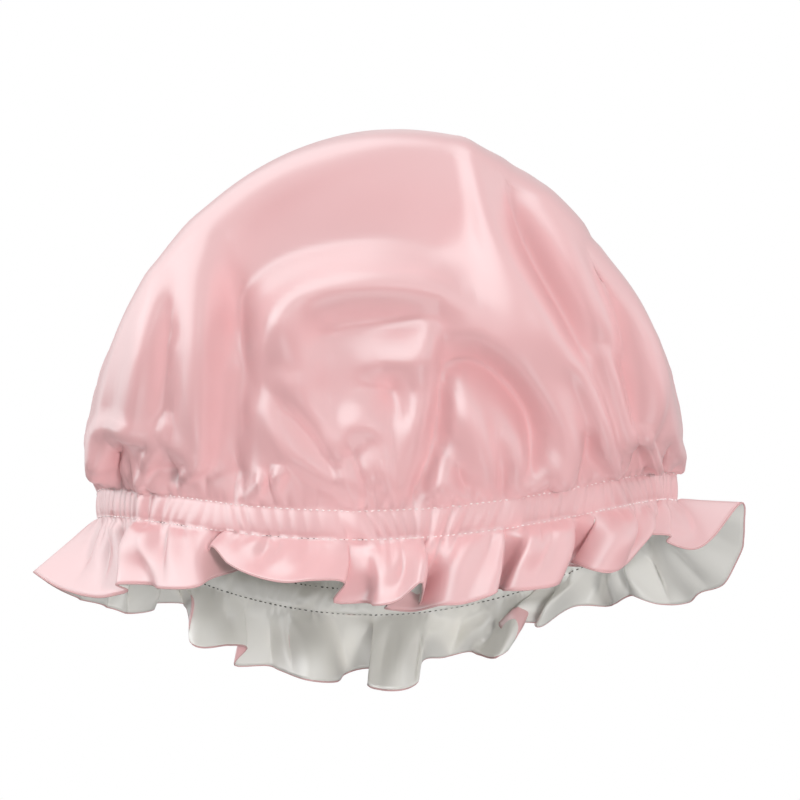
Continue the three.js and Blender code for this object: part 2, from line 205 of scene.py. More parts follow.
def band_out(turn):
    """Level direction out of the band's oval."""
    x = np.cos(turn) / BAND_HALF_WIDTH
    y = np.sin(turn) / BAND_HALF_DEPTH
    return unit(np.stack([x, y, np.zeros_like(turn)], axis=-1))


def band_along(turn):
    """Level direction along the band's oval."""
    out = band_out(turn)
    return np.stack([-out[..., 1], out[..., 0], np.zeros_like(turn)], axis=-1)


# Even steps along the crown's outline, from its widest level to its top
_leans = np.linspace(0, math.pi / 2, OUTLINE_STEPS)
_outline_x = CROWN_HALF_DEPTH * np.cos(_leans)
_outline_z = (CROWN_TOP - WIDEST_HEIGHT) * np.sin(_leans) ** CROWN_SHAPE
_outline_run = np.concatenate([[0], np.cumsum(np.hypot(np.diff(_outline_x), np.diff(_outline_z)))])
_outline_run /= _outline_run[-1]


def dome_point(turn, climb):
    """Plain crown, without folds, with a flat face and a round back. climb is 0 at the casing and 1 at the
    top."""
    base = band(turn) + UP * (CASING_FLAT / 2)
    skirt = np.clip(climb / SKIRT_SHARE, 0, 1)
    swell = np.sin(skirt * math.pi / 2)
    front_swell = np.sin(np.clip(climb / FRONT_SKIRT_SHARE, 0, 1) * math.pi / 2)
    above = np.clip((climb - SKIRT_SHARE) / (1 - SKIRT_SHARE), 0, 1)
    lean = np.interp(above, _outline_run, _leans)
    rise = np.sin(lean) ** CROWN_SHAPE
    narrow = np.cos(lean)
    plain = np.abs(np.sin(turn)) * narrow
    shape = mix(FACE_SHAPE, TOP_FACE_SHAPE, ease(rise))
    flat_face = (1 - (1 - plain**2) ** (shape / 2)) ** (1 / shape)
    flatness = ease(-FACE_ENDS * np.sin(turn) * narrow)
    deep = mix(plain, flat_face, ease(plain / FACE_RIM) * flatness) * np.sign(np.sin(turn))
    x = mix(base[..., 0], CROWN_HALF_WIDTH * np.cos(turn), swell) * narrow
    x = x + TOP_SHIFT * rise - SIDE_LEAN * np.sin(math.pi * rise)
    y = mix(base[..., 1], CROWN_HALF_DEPTH * deep, front_swell)
    z = mix(base[..., 2], WIDEST_HEIGHT, skirt) + (CROWN_TOP - WIDEST_HEIGHT) * rise
    return np.stack([x, y, z], axis=-1)


def dome(turn, climb):
    """Plain crown, and the way that its cloth faces."""
    along = dome_point(turn + DOME_STEP, climb) - dome_point(turn - DOME_STEP, climb)
    higher = np.minimum(climb + DOME_STEP, 1)
    lower = np.maximum(climb - DOME_STEP, 0)
    facing = unit(np.cross(along, dome_point(turn, higher) - dome_point(turn, lower)))
    at_top = ease((climb - TOP_FROM) / TOP_BLEND)[..., None]
    return dome_point(turn, climb), unit(mix(facing, UP, at_top))


# Forms on the crown's face, each a line of points in the photograph's pixels: x, y, half widths on the
# left or lower side and on the right or upper side, and height in mm. Heights below zero are hollows.
# Lines run downwards or to the right.
FACE_FORMS = [
    # rim of the crown, from the left over the top
    [(202, 262, 26, 22, 0.3), (226, 222, 24, 20, 0.4), (270, 188, 20, 18, 0.7), (330, 161, 16, 14, 0.6),
     (400, 147, 13, 12, 0.3), (452, 143, 12, 12, 0.3)],
    # hollow under the rim, and its left leg
    [(236, 330, 20, 20, -2), (240, 296, 14, 26, -2), (264, 266, 13, 44, -2), (310, 246, 13, 60, -2.2),
     (380, 236, 13, 64, -2.2), (432, 246, 13, 54, -1.6)],
    # ridge down the left side, and the dark valley beside it
    [(210, 244, 24, 14, 1), (203, 300, 26, 14, 3), (201, 370, 22, 12, 3.4), (201, 430, 18, 10, 3),
     (202, 462, 10, 8, 1)],
    [(238, 300, 30, 16, -1.6), (240, 360, 30, 16, -2.6), (236, 420, 28, 20, -2.6),
     (230, 470, 20, 20, -1.6)],
    # ridge down from the top, right of the hollow, which ends in the bright shoulder
    [(458, 136, 8, 10, 0.2), (472, 168, 9, 11, 1.4), (482, 205, 11, 12, 2.2), (493, 240, 16, 13, 2.8),
     (514, 280, 28, 14, 3.4), (540, 316, 34, 13, 3), (564, 350, 28, 11, 1.6)],
    # valley right of it, the band beyond it, and the valley and the ridge beside the outline
    [(506, 178, 8, 12, -1), (520, 228, 10, 16, -3), (538, 268, 10, 18, -3.6), (560, 308, 10, 18, -3.4),
     (580, 350, 8, 12, -1.6)],
    [(540, 205, 14, 12, 1), (562, 240, 16, 12, 2.2), (580, 275, 18, 12, 2.6), (602, 318, 16, 12, 2.2),
     (616, 350, 10, 10, 1)],
    [(590, 245, 12, 14, -1), (604, 280, 14, 16, -2.2), (622, 330, 14, 16, -2.6),
     (628, 390, 12, 14, -2.2), (630, 425, 10, 10, -1)],
    [(604, 248, 12, 10, 0.6), (630, 295, 14, 12, 1), (645, 345, 16, 14, 1.2), (652, 395, 16, 12, 2),
     (646, 430, 12, 8, 1.6)],
    # belly: its upper ledge, its left side and its lower bulge
    [(268, 338, 24, 16, 2.4), (286, 308, 26, 16, 3.6), (320, 290, 30, 17, 4.6), (370, 284, 30, 18, 5),
     (424, 288, 24, 16, 3.6),
     (450, 300, 20, 14, 2.2), (472, 312, 18, 14, 0.8)],
    [(282, 320, 22, 22, 2.4), (296, 345, 24, 22, 3), (302, 372, 20, 18, 2)],
    [(380, 366, 18, 20, 1.2), (408, 358, 20, 24, 2.4), (432, 356, 16, 24, 2.2)],
    # dark leaf under the ledge, the wrinkle in the ledge and the dark patch below the bulge
    [(308, 344, 16, 16, -0.8), (338, 326, 20, 16, -1.8), (375, 320, 18, 16, -2),
     (425, 320, 10, 12, -0.6)],
    [(290, 290, 3, 4, -0.1), (335, 279, 3, 4, -0.4), (380, 275, 3, 4, -0.4), (425, 273, 3, 4, 0)],
    [(372, 386, 12, 12, -1), (392, 390, 16, 14, -2.6), (400, 408, 12, 10, -1.6)],
    # folds that lean from the belly into the casing
    [(284, 378, 14, 14, 1.2), (306, 402, 14, 14, 2), (328, 438, 12, 12, 2), (348, 484, 7, 6, 1.2),
     (353, 502, 5, 4, 0.4)],
    [(262, 408, 16, 14, 1.4), (288, 444, 16, 14, 2), (320, 472, 12, 10, 1.6), (345, 494, 6, 6, 0.6)],
    [(292, 414, 8, 10, -0.6), (314, 436, 9, 10, -1), (336, 468, 6, 6, -0.6)],
    [(340, 440, 16, 16, 1.2), (358, 424, 20, 18, 2.2), (378, 430, 16, 9, 2), (384, 456, 12, 6, 1.4),
     (390, 490, 7, 5, 0.8)],
    [(352, 452, 5, 6, -0.8), (362, 478, 5, 5, -1.2), (370, 500, 4, 4, -0.6)],
    # ridge left of the crease, and the dark gap right of it
    [(430, 345, 22, 7, 1.4), (426, 395, 24, 7, 2.4), (416, 440, 20, 7, 2.6), (406, 500, 13, 6, 1.4)],
    [(440, 288, 5, 10, 0), (442, 318, 6, 16, -0.8), (443, 350, 7, 16, -1.6), (440, 400, 8, 14, -2.2),
     (436, 440, 10, 12, -2.2),
     (424, 500, 6, 6, -0.8)],
    # shoulder's lower edge, the dark arch under it and the bright folds inside the arch
    [(445, 332, 10, 34, 1.6), (480, 332, 10, 46, 2.8), (512, 352, 10, 44, 2.8), (540, 386, 9, 24, 2.2),
     (560, 418, 10, 16, 2),
     (568, 446, 14, 12, 2.4), (552, 480, 12, 9, 2)],
    [(446, 362, 12, 12, -2), (476, 362, 14, 13, -3.8), (508, 386, 15, 13, -4.4),
     (530, 418, 14, 12, -4.4), (536, 452, 11, 10, -3.4),
     (528, 480, 8, 7, -1.4)],
    [(456, 390, 14, 14, 1.6), (470, 412, 22, 15, 3), (482, 442, 20, 10, 3.2), (488, 474, 13, 6, 2.2),
     (491, 500, 7, 4, 0.8)],
    [(514, 440, 12, 9, 1.6), (515, 462, 14, 9, 2.4), (508, 494, 9, 6, 1.2)],
    [(442, 466, 12, 9, 1.4), (438, 484, 14, 9, 1.8), (431, 500, 8, 6, 0.8)],
    [(458, 470, 6, 7, -1), (464, 490, 6, 6, -1.6)],
    # folds of the lower right
    [(576, 362, 9, 5, 1), (590, 394, 8, 5, 2), (602, 430, 8, 5, 2.4), (610, 474, 5, 4, 1.4)],
    [(590, 440, 10, 8, -2), (592, 474, 10, 8, -1.8)],
    [(603, 352, 9, 5, 1), (617, 390, 9, 6, 1.8), (625, 430, 7, 5, 1.8), (628, 450, 4, 4, 0.6)],
    [(640, 436, 8, 5, 1.4), (652, 462, 7, 4, 1.8), (667, 494, 5, 4, 0.8)],
    [(634, 456, 6, 5, -1), (648, 486, 6, 5, -1.4)],
    # left side: two bright bands with a darker one between them, and the overhang below them
    [(160, 285, 14, 14, 1), (150, 335, 18, 16, 2.2), (144, 385, 20, 16, 2.6), (136, 425, 18, 14, 2)],
    [(172, 310, 10, 9, -0.8), (170, 360, 10, 9, -1.6), (168, 410, 10, 8, -1.4)],
    [(176, 345, 8, 6, 0.8), (170, 392, 8, 6, 1.2), (167, 430, 6, 5, 0.8)],
    [(94, 428, 9, 8, 0.8), (124, 432, 10, 12, 1.2), (158, 438, 9, 12, 1), (192, 452, 8, 10, 1)],
    [(122, 462, 12, 12, -2), (145, 470, 12, 12, -2), (178, 480, 10, 10, -2)],
    [(158, 448, 6, 5, 1), (148, 474, 7, 5, 2), (136, 500, 5, 4, 1.2)],
    [(200, 460, 6, 5, 1.4), (184, 478, 6, 5, 1.8), (172, 500, 5, 4, 1)],
    [(92, 436, 5, 4, 1), (102, 462, 6, 5, 1.8), (106, 496, 5, 4, 1)],
    [(262, 476, 5, 5, 1.4), (258, 498, 5, 5, 0.8)],
    [(280, 470, 6, 6, 1.4), (274, 498, 6, 6, 0.8)],
]

# Sharp creases, drawn in the same way
FACE_CREASES = [
    [(437, 276, 4, 3, 0), (437, 305, 6, 4, -0.8), (433, 350, 6, 4, -1.6), (427, 405, 6, 4, -1.4),
     (418, 450, 5, 4, -0.6)],
    [(224, 338, 4, 5, 0), (250, 374, 5, 6, -1.2), (259, 404, 5, 6, -1.6), (272, 440, 5, 6, -1.4),
     (296, 470, 4, 5, -0.8)],
    [(330, 425, 4, 4, 0), (342, 450, 4, 4, -1.2), (354, 490, 3, 3, -0.8)],
    [(384, 424, 3, 4, 0), (380, 452, 4, 4, -1.4), (384, 492, 3, 3, -0.8)],
    [(573, 350, 4, 3, 0), (586, 388, 5, 3, -1.2), (592, 420, 5, 3, -0.8)],
    [(184, 380, 4, 4, 0), (192, 420, 4, 4, -1), (198, 456, 4, 4, -0.8)],
]

# Pixels of the photograph on which the forms are laid out before they are read, and steps per drawn point
FORMS_LEFT = 40
FORMS_TOP = 90
FORMS_STEP = 2
FORMS_COLUMNS = 360
FORMS_ROWS = 230
STEPS_PER_POINT = 6

# How much higher than drawn the forms are, above and below two rows of pixels; how round a crease is; and
# the depth over which the face ends at the outline
FORMS_GAIN = 2.1
LOW_FORMS_GAIN = 2.5
LOW_FORMS_FROM = 280
LOW_FORMS_TO = 360
CREASE_ROUNDING = 0.02
FACE_FADE = 40 * MM


def cubic_weights(t):
    return [
        ((2 - t) * t - 1) * t / 2,
        ((3 * t - 5) * t * t + 2) / 2,
        ((4 - 3 * t) * t + 1) * t / 2,
        (t - 1) * t * t / 2,
    ]


def smooth_line(line):
    """A drawn line with more points, rounded at its corners."""
    points = np.array(line, dtype=float)
    padded = np.concatenate([points[:1], points, points[-1:]])
    place = np.linspace(0, len(points) - 1, (len(points) - 1) * STEPS_PER_POINT + 1)
    first = np.minimum(place.astype(int), len(points) - 2)
    weights = cubic_weights(place - first)
    return sum(weight[:, None] * padded[first + i] for i, weight in enumerate(weights))


def drawn_height(px, py, line, sharp):
    """Height in metres, at pixels of the photograph, of a form that is drawn as a line."""
    nearest = np.full(px.shape, np.inf)
    height = np.zeros_like(px)
    points = smooth_line(line)
    for start, end in zip(points, points[1:]):
        run_x, run_y = end[:2] - start[:2]
        off_x = px - start[0]
        off_y = py - start[1]
        run = np.clip((off_x * run_x + off_y * run_y) / (run_x**2 + run_y**2), 0, 1)
        x, y, left, right, tall = (mix(low, high, run) for low, high in zip(start, end))
        gap = np.hypot(px - x, py - y)
        side = run_x * off_y - run_y * off_x
        side = side / np.maximum(gap * math.hypot(run_x, run_y), LEAST_GAP)
        gap = gap / mix(right, left, ease(0.5 + 0.5 * side))
        closer = gap < nearest
        nearest = np.where(closer, gap, nearest)
        height = np.where(closer, tall, height)
    if sharp:
        return height * MM * np.exp(-np.sqrt(nearest**2 + CREASE_ROUNDING))
    return height * MM * np.exp(-(nearest**2))


def laid_out_forms():
    """All drawn forms together, on a grid of the photograph's pixels."""
    px, py = np.meshgrid(
        FORMS_LEFT + FORMS_STEP * np.arange(FORMS_COLUMNS, dtype=float),
        FORMS_TOP + FORMS_STEP * np.arange(FORMS_ROWS, dtype=float),
    )
    total = np.zeros_like(px)
    for line in FACE_FORMS:
        total += drawn_height(px, py, line, False)
    lower = ease((py - LOW_FORMS_FROM) / (LOW_FORMS_TO - LOW_FORMS_FROM))
    total *= mix(FORMS_GAIN, LOW_FORMS_GAIN, lower)
    for line in FACE_CREASES:
        total += drawn_height(px, py, line, True)
    return total


def read_grid(grid, row, column):
    """Smooth reading of a grid between its rows and columns. Its columns close round."""
    first_row = np.floor(row).astype(int)
    first_column = np.floor(column).astype(int)
    total = 0
    for i, row_weight in enumerate(cubic_weights(row - first_row)):
        at_row = np.clip(first_row + i - 1, 0, grid.shape[0] - 1)
        for j, column_weight in enumerate(cubic_weights(column - first_column)):
            at_column = (first_column + j - 1) % grid.shape[1]
            total = total + grid[at_row, at_column] * (row_weight * column_weight)[..., None]
    return total


forms_grid = laid_out_forms()[..., None]


def face_share(point):
    """1 on the crown's face, and 0 behind its outline."""
    return ease(0.5 - point[..., 1] / FACE_FADE)


def face_relief(point):
    """Height of the drawn forms at points of the plain crown."""
    px, py = photo_pixel(point)
    column = np.clip((px - FORMS_LEFT) / FORMS_STEP, 1, FORMS_COLUMNS - 3)
    row = np.clip((py - FORMS_TOP) / FORMS_STEP, 1, FORMS_ROWS - 3)
    return read_grid(forms_grid, row, column)[..., 0] * face_share(point)


# Slow swells all round the crown, as loose stuffing gives: height in mm; waves round the head, where they
# start and how they drift on the way up; waves on the way up, and where they start. They fade out at the
# rim and at the top.
SOFT_LUMPS = [
    (1.6, 3, 0.7, 0, 4.1, 0.4),
    (1.2, 5, -1.9, 2.5, 6.3, 1.1),
    (0.8, 9, 0.5, -3, 3.4, 0),
]
LUMPS_RIM_FADE = 0.3
LUMPS_TOP_FADE = 0.25


def soft_lumps(turn, climb):
    lumps = 0
    for height, count, start, drift, climb_count, climb_start in SOFT_LUMPS:
        round_head = np.sin(count * turn + start + drift * climb)
        lumps = lumps + height * round_head * np.sin(climb_count * climb + climb_start)
    return lumps * MM * ease(climb / LUMPS_RIM_FADE) * ease((1 - climb) / LUMPS_TOP_FADE)


def wave_sum(turn, waves):
    """Waves round the head, each with its size, its count and its start."""
    return sum(size * np.sin(count * turn + start) for size, count, start in waves)


# Simulation of the crown: a full, ungathered bell of cloth whose rim is drawn in to the band. Rows of its
# mesh, frames, the frame by which it is drawn in, the first pleats, and the slowest waves that are kept.
SIM_COLUMNS = 384
SIM_TOP_ROWS = np.linspace(6 * MM, 108 * MM, 26)
SIM_LOW_ROWS = np.linspace(112 * MM, CROWN_FLAT, 32)
SIM_HEM = [CROWN_FLAT + 1.4 * MM, CROWN_FLAT + 2.8 * MM]
SIM_ROWS = np.concatenate([[0], SIM_TOP_ROWS, SIM_LOW_ROWS, SIM_HEM])
SIM_HELD_MARGIN = 0.1 * MM
SIM_FRAMES = 36
SIM_DRAWN_BY = 20
SIM_PLEATS = 44
SIM_PLEAT_HEIGHT = 2.5 * MM
SIM_PLEAT_WAVES = [(1.4, 3, 1.0), (1.1, 7, 2.1), (0.8, 13, 0.4)]
SLOWEST_FOLD = 4
SLOW_FOLDS_BLEND = 3
SIM_SATIN = {
    "quality": 5,
    "mass": 0.003,
    "air_damping": 1,
    "tension_stiffness": 15,
    "compression_stiffness": 15,
    "shear_stiffness": 5,
    "bending_stiffness": 6,
    "tension_damping": 5,
    "compression_damping": 5,
    "shear_damping": 5,
    "bending_damping": 0.5,
    "use_pressure": True,
    "uniform_pressure_force": 230,
}

# The bell: its size for the crown's, how much wider it is from its middle and at its rim, the climbs over
# which that grows, how much less it is at the ears, and the least fall of the cloth for its length
BELL_SIZE = 1.02
BELL_MIDDLE = 0.14
BELL_MIDDLE_FROM = 0.8
BELL_MIDDLE_OVER = 0.6
BELL_RIM = 0.55
BELL_RIM_OVER = 0.35
BELL_LESS_AT_EARS = 0.4
BELL_EAR_NARROWNESS = 5
BELL_LEAST_FALL = 0.15


def ungathered(plain, turn, climb):
    """The crown before it is drawn in: wider towards its rim, with the same length of cloth down it."""
    at_ears = 1 - BELL_LESS_AT_EARS * np.abs(np.cos(turn)) ** BELL_EAR_NARROWNESS
    wider = BELL_MIDDLE * ease((BELL_MIDDLE_FROM - climb) / BELL_MIDDLE_OVER)
    wider = wider + BELL_RIM * ease((BELL_RIM_OVER - climb) / BELL_RIM_OVER)
    bell = plain.copy()
    bell[..., :2] *= (BELL_SIZE + wider * at_ears)[..., None]
    step = np.linalg.norm(np.diff(plain, axis=0), axis=-1)
    level_step = np.linalg.norm(np.diff(bell[..., :2], axis=0), axis=-1)
    fall = np.sqrt(np.maximum(step**2 - level_step**2, (BELL_LEAST_FALL * step) ** 2))
    bell[1:, :, 2] = bell[0, :, 2] - np.cumsum(fall, axis=0)
    return bell


def simulated_cloth(bell, drawn):
    """Grid of the cloth's points, once a simulation has drawn its rim in from the bell."""
    mesh = made("gathering", rolled_ring(SIM_ROWS, SIM_COLUMNS))
    flat, turn = flat_places(mesh)
    row = np.argmin(np.abs(flat[:, None] - SIM_ROWS[None, :]), axis=1)
    column = np.rint(turn / FULL_TURN * SIM_COLUMNS).astype(int) % SIM_COLUMNS
    mesh.vertices.foreach_set("co", bell[row, column].ravel())
    cloth_object = bpy.data.objects.new("gathering", mesh)
    scene = bpy.context.scene
    scene.collection.objects.link(cloth_object)
    cloth_object.shape_key_add(name="Basis")
    key = cloth_object.shape_key_add(name="drawn_in")
    key.data.foreach_set("co", drawn[row, column].ravel())

    held = cloth_object.vertex_groups.new(name="held")
    held.add([int(i) for i in np.flatnonzero(flat > CROWN_FLAT - SIM_HELD_MARGIN)], 1, "REPLACE")
    cloth = cloth_object.modifiers.new("cloth", "CLOTH")
    for setting, value in SIM_SATIN.items():
        setattr(cloth.settings, setting, value)
    cloth.settings.vertex_group_mass = "held"
    cloth.settings.effector_weights.gravity = 0
    cloth.collision_settings.use_collision = False
    cloth.point_cache.frame_start = 1
    cloth.point_cache.frame_end = SIM_FRAMES
    scene.frame_start = 1
    scene.frame_end = SIM_FRAMES
    for frame_number in range(1, SIM_FRAMES + 1):
        key.value = min(1, (frame_number - 1) / (SIM_DRAWN_BY - 1))
        scene.frame_set(frame_number)
    grid = np.zeros((len(SIM_ROWS), SIM_COLUMNS, 3))
    evaluated = cloth_object.evaluated_get(bpy.context.evaluated_depsgraph_get())
    grid[row, column] = coordinates(evaluated.data)
    grid[0] = grid[1].mean(axis=0)
    bpy.data.objects.remove(cloth_object)
    bpy.data.meshes.remove(mesh)
    scene.frame_set(1)
    return grid


def simulated_folds():
    """Folds of the gathered crown, out from, along and above its plain shape, on the simulation's grid."""
    turns, flats = np.meshgrid(np.arange(SIM_COLUMNS) / SIM_COLUMNS * FULL_TURN, SIM_ROWS)
    climb = np.clip(1 - flats / CROWN_FLAT, 0, 1)
    plain, facing = dome(turns, climb)

    hem = UP * np.maximum(flats - CROWN_FLAT, 0)[..., None]
    bell = ungathered(plain, turns, climb) - hem
    first_pleats = SIM_PLEAT_HEIGHT * np.sin(SIM_PLEATS * turns + wave_sum(turns, SIM_PLEAT_WAVES))
    drawn = plain + facing * first_pleats[..., None] - hem
    away = simulated_cloth(bell, drawn) - (plain - hem)
    out = (away * band_out(turns)).sum(-1)
    along = (away * band_along(turns)).sum(-1)
    waves = np.fft.rfft(np.stack([out, along, away[..., 2]], axis=-1), axis=1)
    count = np.arange(waves.shape[1])
    waves *= np.clip((count - SLOWEST_FOLD) / SLOW_FOLDS_BLEND, 0, 1)[None, :, None]
    return np.fft.irfft(waves, n=SIM_COLUMNS, axis=1)


def read_folds(folds, turn, flat):
    """Smooth reading of the simulation's grid at any turn and distance from the cloth's centre."""
    row = np.interp(flat, SIM_ROWS, np.arange(len(SIM_ROWS)))
    return read_grid(folds, row, turn / FULL_TURN * SIM_COLUMNS)


def made(name, bm):
    mesh = bpy.data.meshes.new(name)
    bm.to_mesh(mesh)
    bm.free()
    return mesh


def coordinates(mesh):
    points = np.empty(len(mesh.vertices) * 3)
    mesh.vertices.foreach_get("co", points)
    return points.reshape(-1, 3)


def laid(mesh, places):
    """Puts the vertices of a mesh in their places."""
    mesh.vertices.foreach_set("co", places.ravel())
    mesh.update()


def mapped(mesh, name, places):
    """Gives a mesh a map of where its vertices lie on the flat cloth."""
    corners = np.empty(len(mesh.loops), dtype=np.int32)
    mesh.loops.foreach_get("vertex_index", corners)
    mesh.uv_layers.new(name=name).data.foreach_set("uv", places[corners].ravel())


def rolled_ring(radii, columns):
    """A flat ring of cloth: a grid of rows and columns, rolled round the centre and closed."""
    bm = bmesh.new()
    bmesh.ops.create_grid(bm, x_segments=columns, y_segments=len(radii) - 1, size=0.5)
    for vert in bm.verts:
        turn = (vert.co.x + 0.5) * FULL_TURN
        radius = radii[round((vert.co.y + 0.5) * (len(radii) - 1))]
        vert.co = (radius * math.cos(turn), radius * math.sin(turn), 0)
    bmesh.ops.remove_doubles(bm, verts=bm.verts[:], dist=RING_MERGE)
    return bm


def rolled_tube(name, columns, sides):
    """A closed tube round the head, with the turn and the angle round the tube of each vertex."""
    bm = bmesh.new()
    bmesh.ops.create_grid(bm, x_segments=columns, y_segments=sides, size=0.5)
    for vert in bm.verts:
        turn = (vert.co.x + 0.5) * FULL_TURN
        angle = (vert.co.y + 0.5) * FULL_TURN
        far = TUBE_RING + math.cos(angle)
        vert.co = (far * math.cos(turn), far * math.sin(turn), math.sin(angle))
    bmesh.ops.remove_doubles(bm, verts=bm.verts[:], dist=TUBE_MERGE)
    bmesh.ops.recalc_face_normals(bm, faces=bm.faces[:])
    mesh = made(name, bm)
    points = coordinates(mesh)
    turn = np.mod(np.arctan2(points[:, 1], points[:, 0]), FULL_TURN)
    angle = np.arctan2(points[:, 2], np.hypot(points[:, 0], points[:, 1]) - TUBE_RING)
    return mesh, turn, angle


def flat_places(mesh):
    """Distance from the cloth's centre and turn round it of each vertex of a flat mesh."""
    points = coordinates(mesh)
    flat = np.hypot(points[:, 0], points[:, 1])
    turn = np.mod(np.arctan2(points[:, 1], points[:, 0]), FULL_TURN)
    return flat, turn


# Fine pleats along the stitch rows: uneven widths, in columns of the mesh, with the chance of each, uneven
# steepness (height for width) and sharpness, and how far they lean through the casing
PLEAT_SEED = 11
PLEAT_WIDTHS = [4, 5, 6, 8, 11]
PLEAT_CHANCES = [0.25, 0.25, 0.25, 0.15, 0.1]
PLEAT_LEAST_WIDTH = 3
STEEPNESS_RANGE = (0.14, 0.36)
SHARPNESS_RANGE = (0.8, 1.8)
PLEAT_DRIFT = math.radians(2.2)
PLEAT_DRIFT_WAVES = [(1, 5, 1), (0.6, 13, 0)]

_uneven = np.random.default_rng(PLEAT_SEED)
_pleat_widths = _uneven.choice(PLEAT_WIDTHS, COLUMNS // PLEAT_LEAST_WIDTH, p=PLEAT_CHANCES)
_pleat_ends = np.cumsum(_pleat_widths)
_pleat_ends = _pleat_ends[_pleat_ends <= COLUMNS - PLEAT_LEAST_WIDTH]
PLEAT_VALLEYS = np.concatenate([[0], _pleat_ends, [COLUMNS]]) / COLUMNS * FULL_TURN
PLEAT_STEEPNESS = _uneven.uniform(*STEEPNESS_RANGE, len(PLEAT_VALLEYS) - 1)
PLEAT_SHARPNESS = _uneven.uniform(*SHARPNESS_RANGE, len(PLEAT_VALLEYS) - 1)


def drifted(turn, flat):
    """Turn at the upper row of the pleat that passes a point: pleats lean through the casing."""
    through = np.clip((flat - UPPER_ROW_FLAT) / CASING_FLAT, 0, 1)
    return turn + PLEAT_DRIFT * wave_sum(turn, PLEAT_DRIFT_WAVES) * through


def pleats(turn, every, power):
    """Round ridges with sharp valleys between them. every joins that many fine pleats into one."""
    valleys = np.append(PLEAT_VALLEYS[:-1:every], FULL_TURN)
    widths = np.diff(valleys) * (BAND_HALF_WIDTH + BAND_HALF_DEPTH) / 2
    heights = PLEAT_STEEPNESS[: len(widths)] * widths
    sharpness = PLEAT_SHARPNESS[: len(widths)]
    turn = np.mod(turn, FULL_TURN)
    at = np.clip(np.searchsorted(valleys, turn, side="right") - 1, 0, len(valleys) - 2)
    share = (turn - valleys[at]) / (valleys[at + 1] - valleys[at])
    return heights[at] * np.clip(4 * share * (1 - share), 0, 1) ** (power * sharpness[at])


# How full the gathers are round the head: turn in degrees, and fullness. They bunch in some places and
# lie flat in others.
FULLNESS = [
    (0, 0.8), (15, 1.1), (30, 0.9), (45, 1.2), (60, 0.9), (75, 1.2), (88, 0.8), (102, 1.2),
    (118, 0.9), (135, 1.1), (160, 0.6), (175, 0.15), (186, 0.2), (196, 0.7), (206, 1.1), (220, 0.9),
    (230, 0.3), (237, 0.3), (244, 1.1), (251, 0.8), (256, 0.25), (260, 0.3), (265, 1.2), (274, 1.3),
    (282, 1.1), (288, 0.6), (294, 1.1), (302, 1.2), (310, 0.7), (318, 1.0), (330, 1.2), (342, 1.0),
]

# The gathers beside a stitch row: power of the fine and of the joined pleats, reach of the fine ones, and
# where the joined ones start. Joined pleats: how many fine ones in each, height for theirs, and in mm how
# far they are lowered, their distance from the row and their reach.
FINE_POWER = 0.9
JOINED_POWER = 0.8
FINE_REACH = 6 * MM
JOINED_START = 5 * MM
JOINED_PLEATS = [(3, 0.8, 1.2, 7, 6), (6, 0.7, 2, 15, 11)]


def read_round(turn, rows):
    """Value at a turn, from rows of turns in degrees and values."""
    return np.interp(np.degrees(turn) % 360, *np.transpose(rows), period=360)


def gathers(turn, away):
    """Relief of the gathers at a distance away from the nearest stitch row: fine pleats that run into
    each other as they leave the row."""
    fine = pleats(turn, 1, FINE_POWER) * hill(away, 0, FINE_REACH)
    joined = 0
    for every, height, lowered, middle, reach in JOINED_PLEATS:
        bulge = height * pleats(turn, every, JOINED_POWER) - lowered * MM
        joined = joined + bulge * hill(away, middle * MM, reach * MM)
    return read_round(turn, FULLNESS) * (fine + joined * ease(away / JOINED_START))


folds_grid = simulated_folds()

# How far above the upper row the forms and folds set in and the folds end, how much weaker folds and lumps
# are on the drawn face, and how round the casing is
FORMS_START = 14 * MM
FOLDS_END = 95 * MM
FOLDS_FADE = 60 * MM
FACE_FOLDS_END = 15 * MM
FACE_FOLDS_FADE = 25 * MM
FACE_LESS_FOLDS = 0.75
FACE_LESS_LUMPS = 0.6
CASING_ROUNDNESS = 0.7


def crown_cloth(turn, flat):
    climb = np.clip(1 - flat / CROWN_FLAT, 0, 1)
    above = np.maximum(CROWN_FLAT - flat, 0)
    point, facing = dome(turn, climb)
    drawn = face_share(point)
    off_row = ease(above / FORMS_START)
    relief = face_relief(point) * off_row + soft_lumps(turn, climb) * (1 - FACE_LESS_LUMPS * drawn)
    relief += gathers(turn, above)
    fold = read_folds(folds_grid, turn, np.minimum(flat, CROWN_FLAT))
    on_face = FACE_LESS_FOLDS * drawn * ease((above - FACE_FOLDS_END) / FACE_FOLDS_FADE)
    fades = ease((FOLDS_END - above) / FOLDS_FADE) * (1 - on_face)
    fold *= (off_row * fades)[..., None]
    moved = band_out(turn) * fold[..., :1] + band_along(turn) * fold[..., 1:2] + UP * fold[..., 2:]
    return point + facing * relief[..., None] + moved


def casing_pleats(turn, flat):
    """Relief of the pleats in the casing, and how far the two layers stand apart there, from 0 to 1."""
    share = np.clip((flat - UPPER_ROW_FLAT) / CASING_FLAT, 0, 1)
    relief = pleats(drifted(turn, flat), 1, FINE_POWER) * read_round(turn, FULLNESS)
    return relief, np.sin(math.pi * share) ** CASING_ROUNDNESS


def casing_cloth(turn, flat):
    point = band(turn) + UP * (CASING_FLAT / 2 + UPPER_ROW_FLAT - flat)[..., None]
    relief, apart = casing_pleats(turn, flat)
    return point + band_out(turn) * (relief * (1 - apart))[..., None]


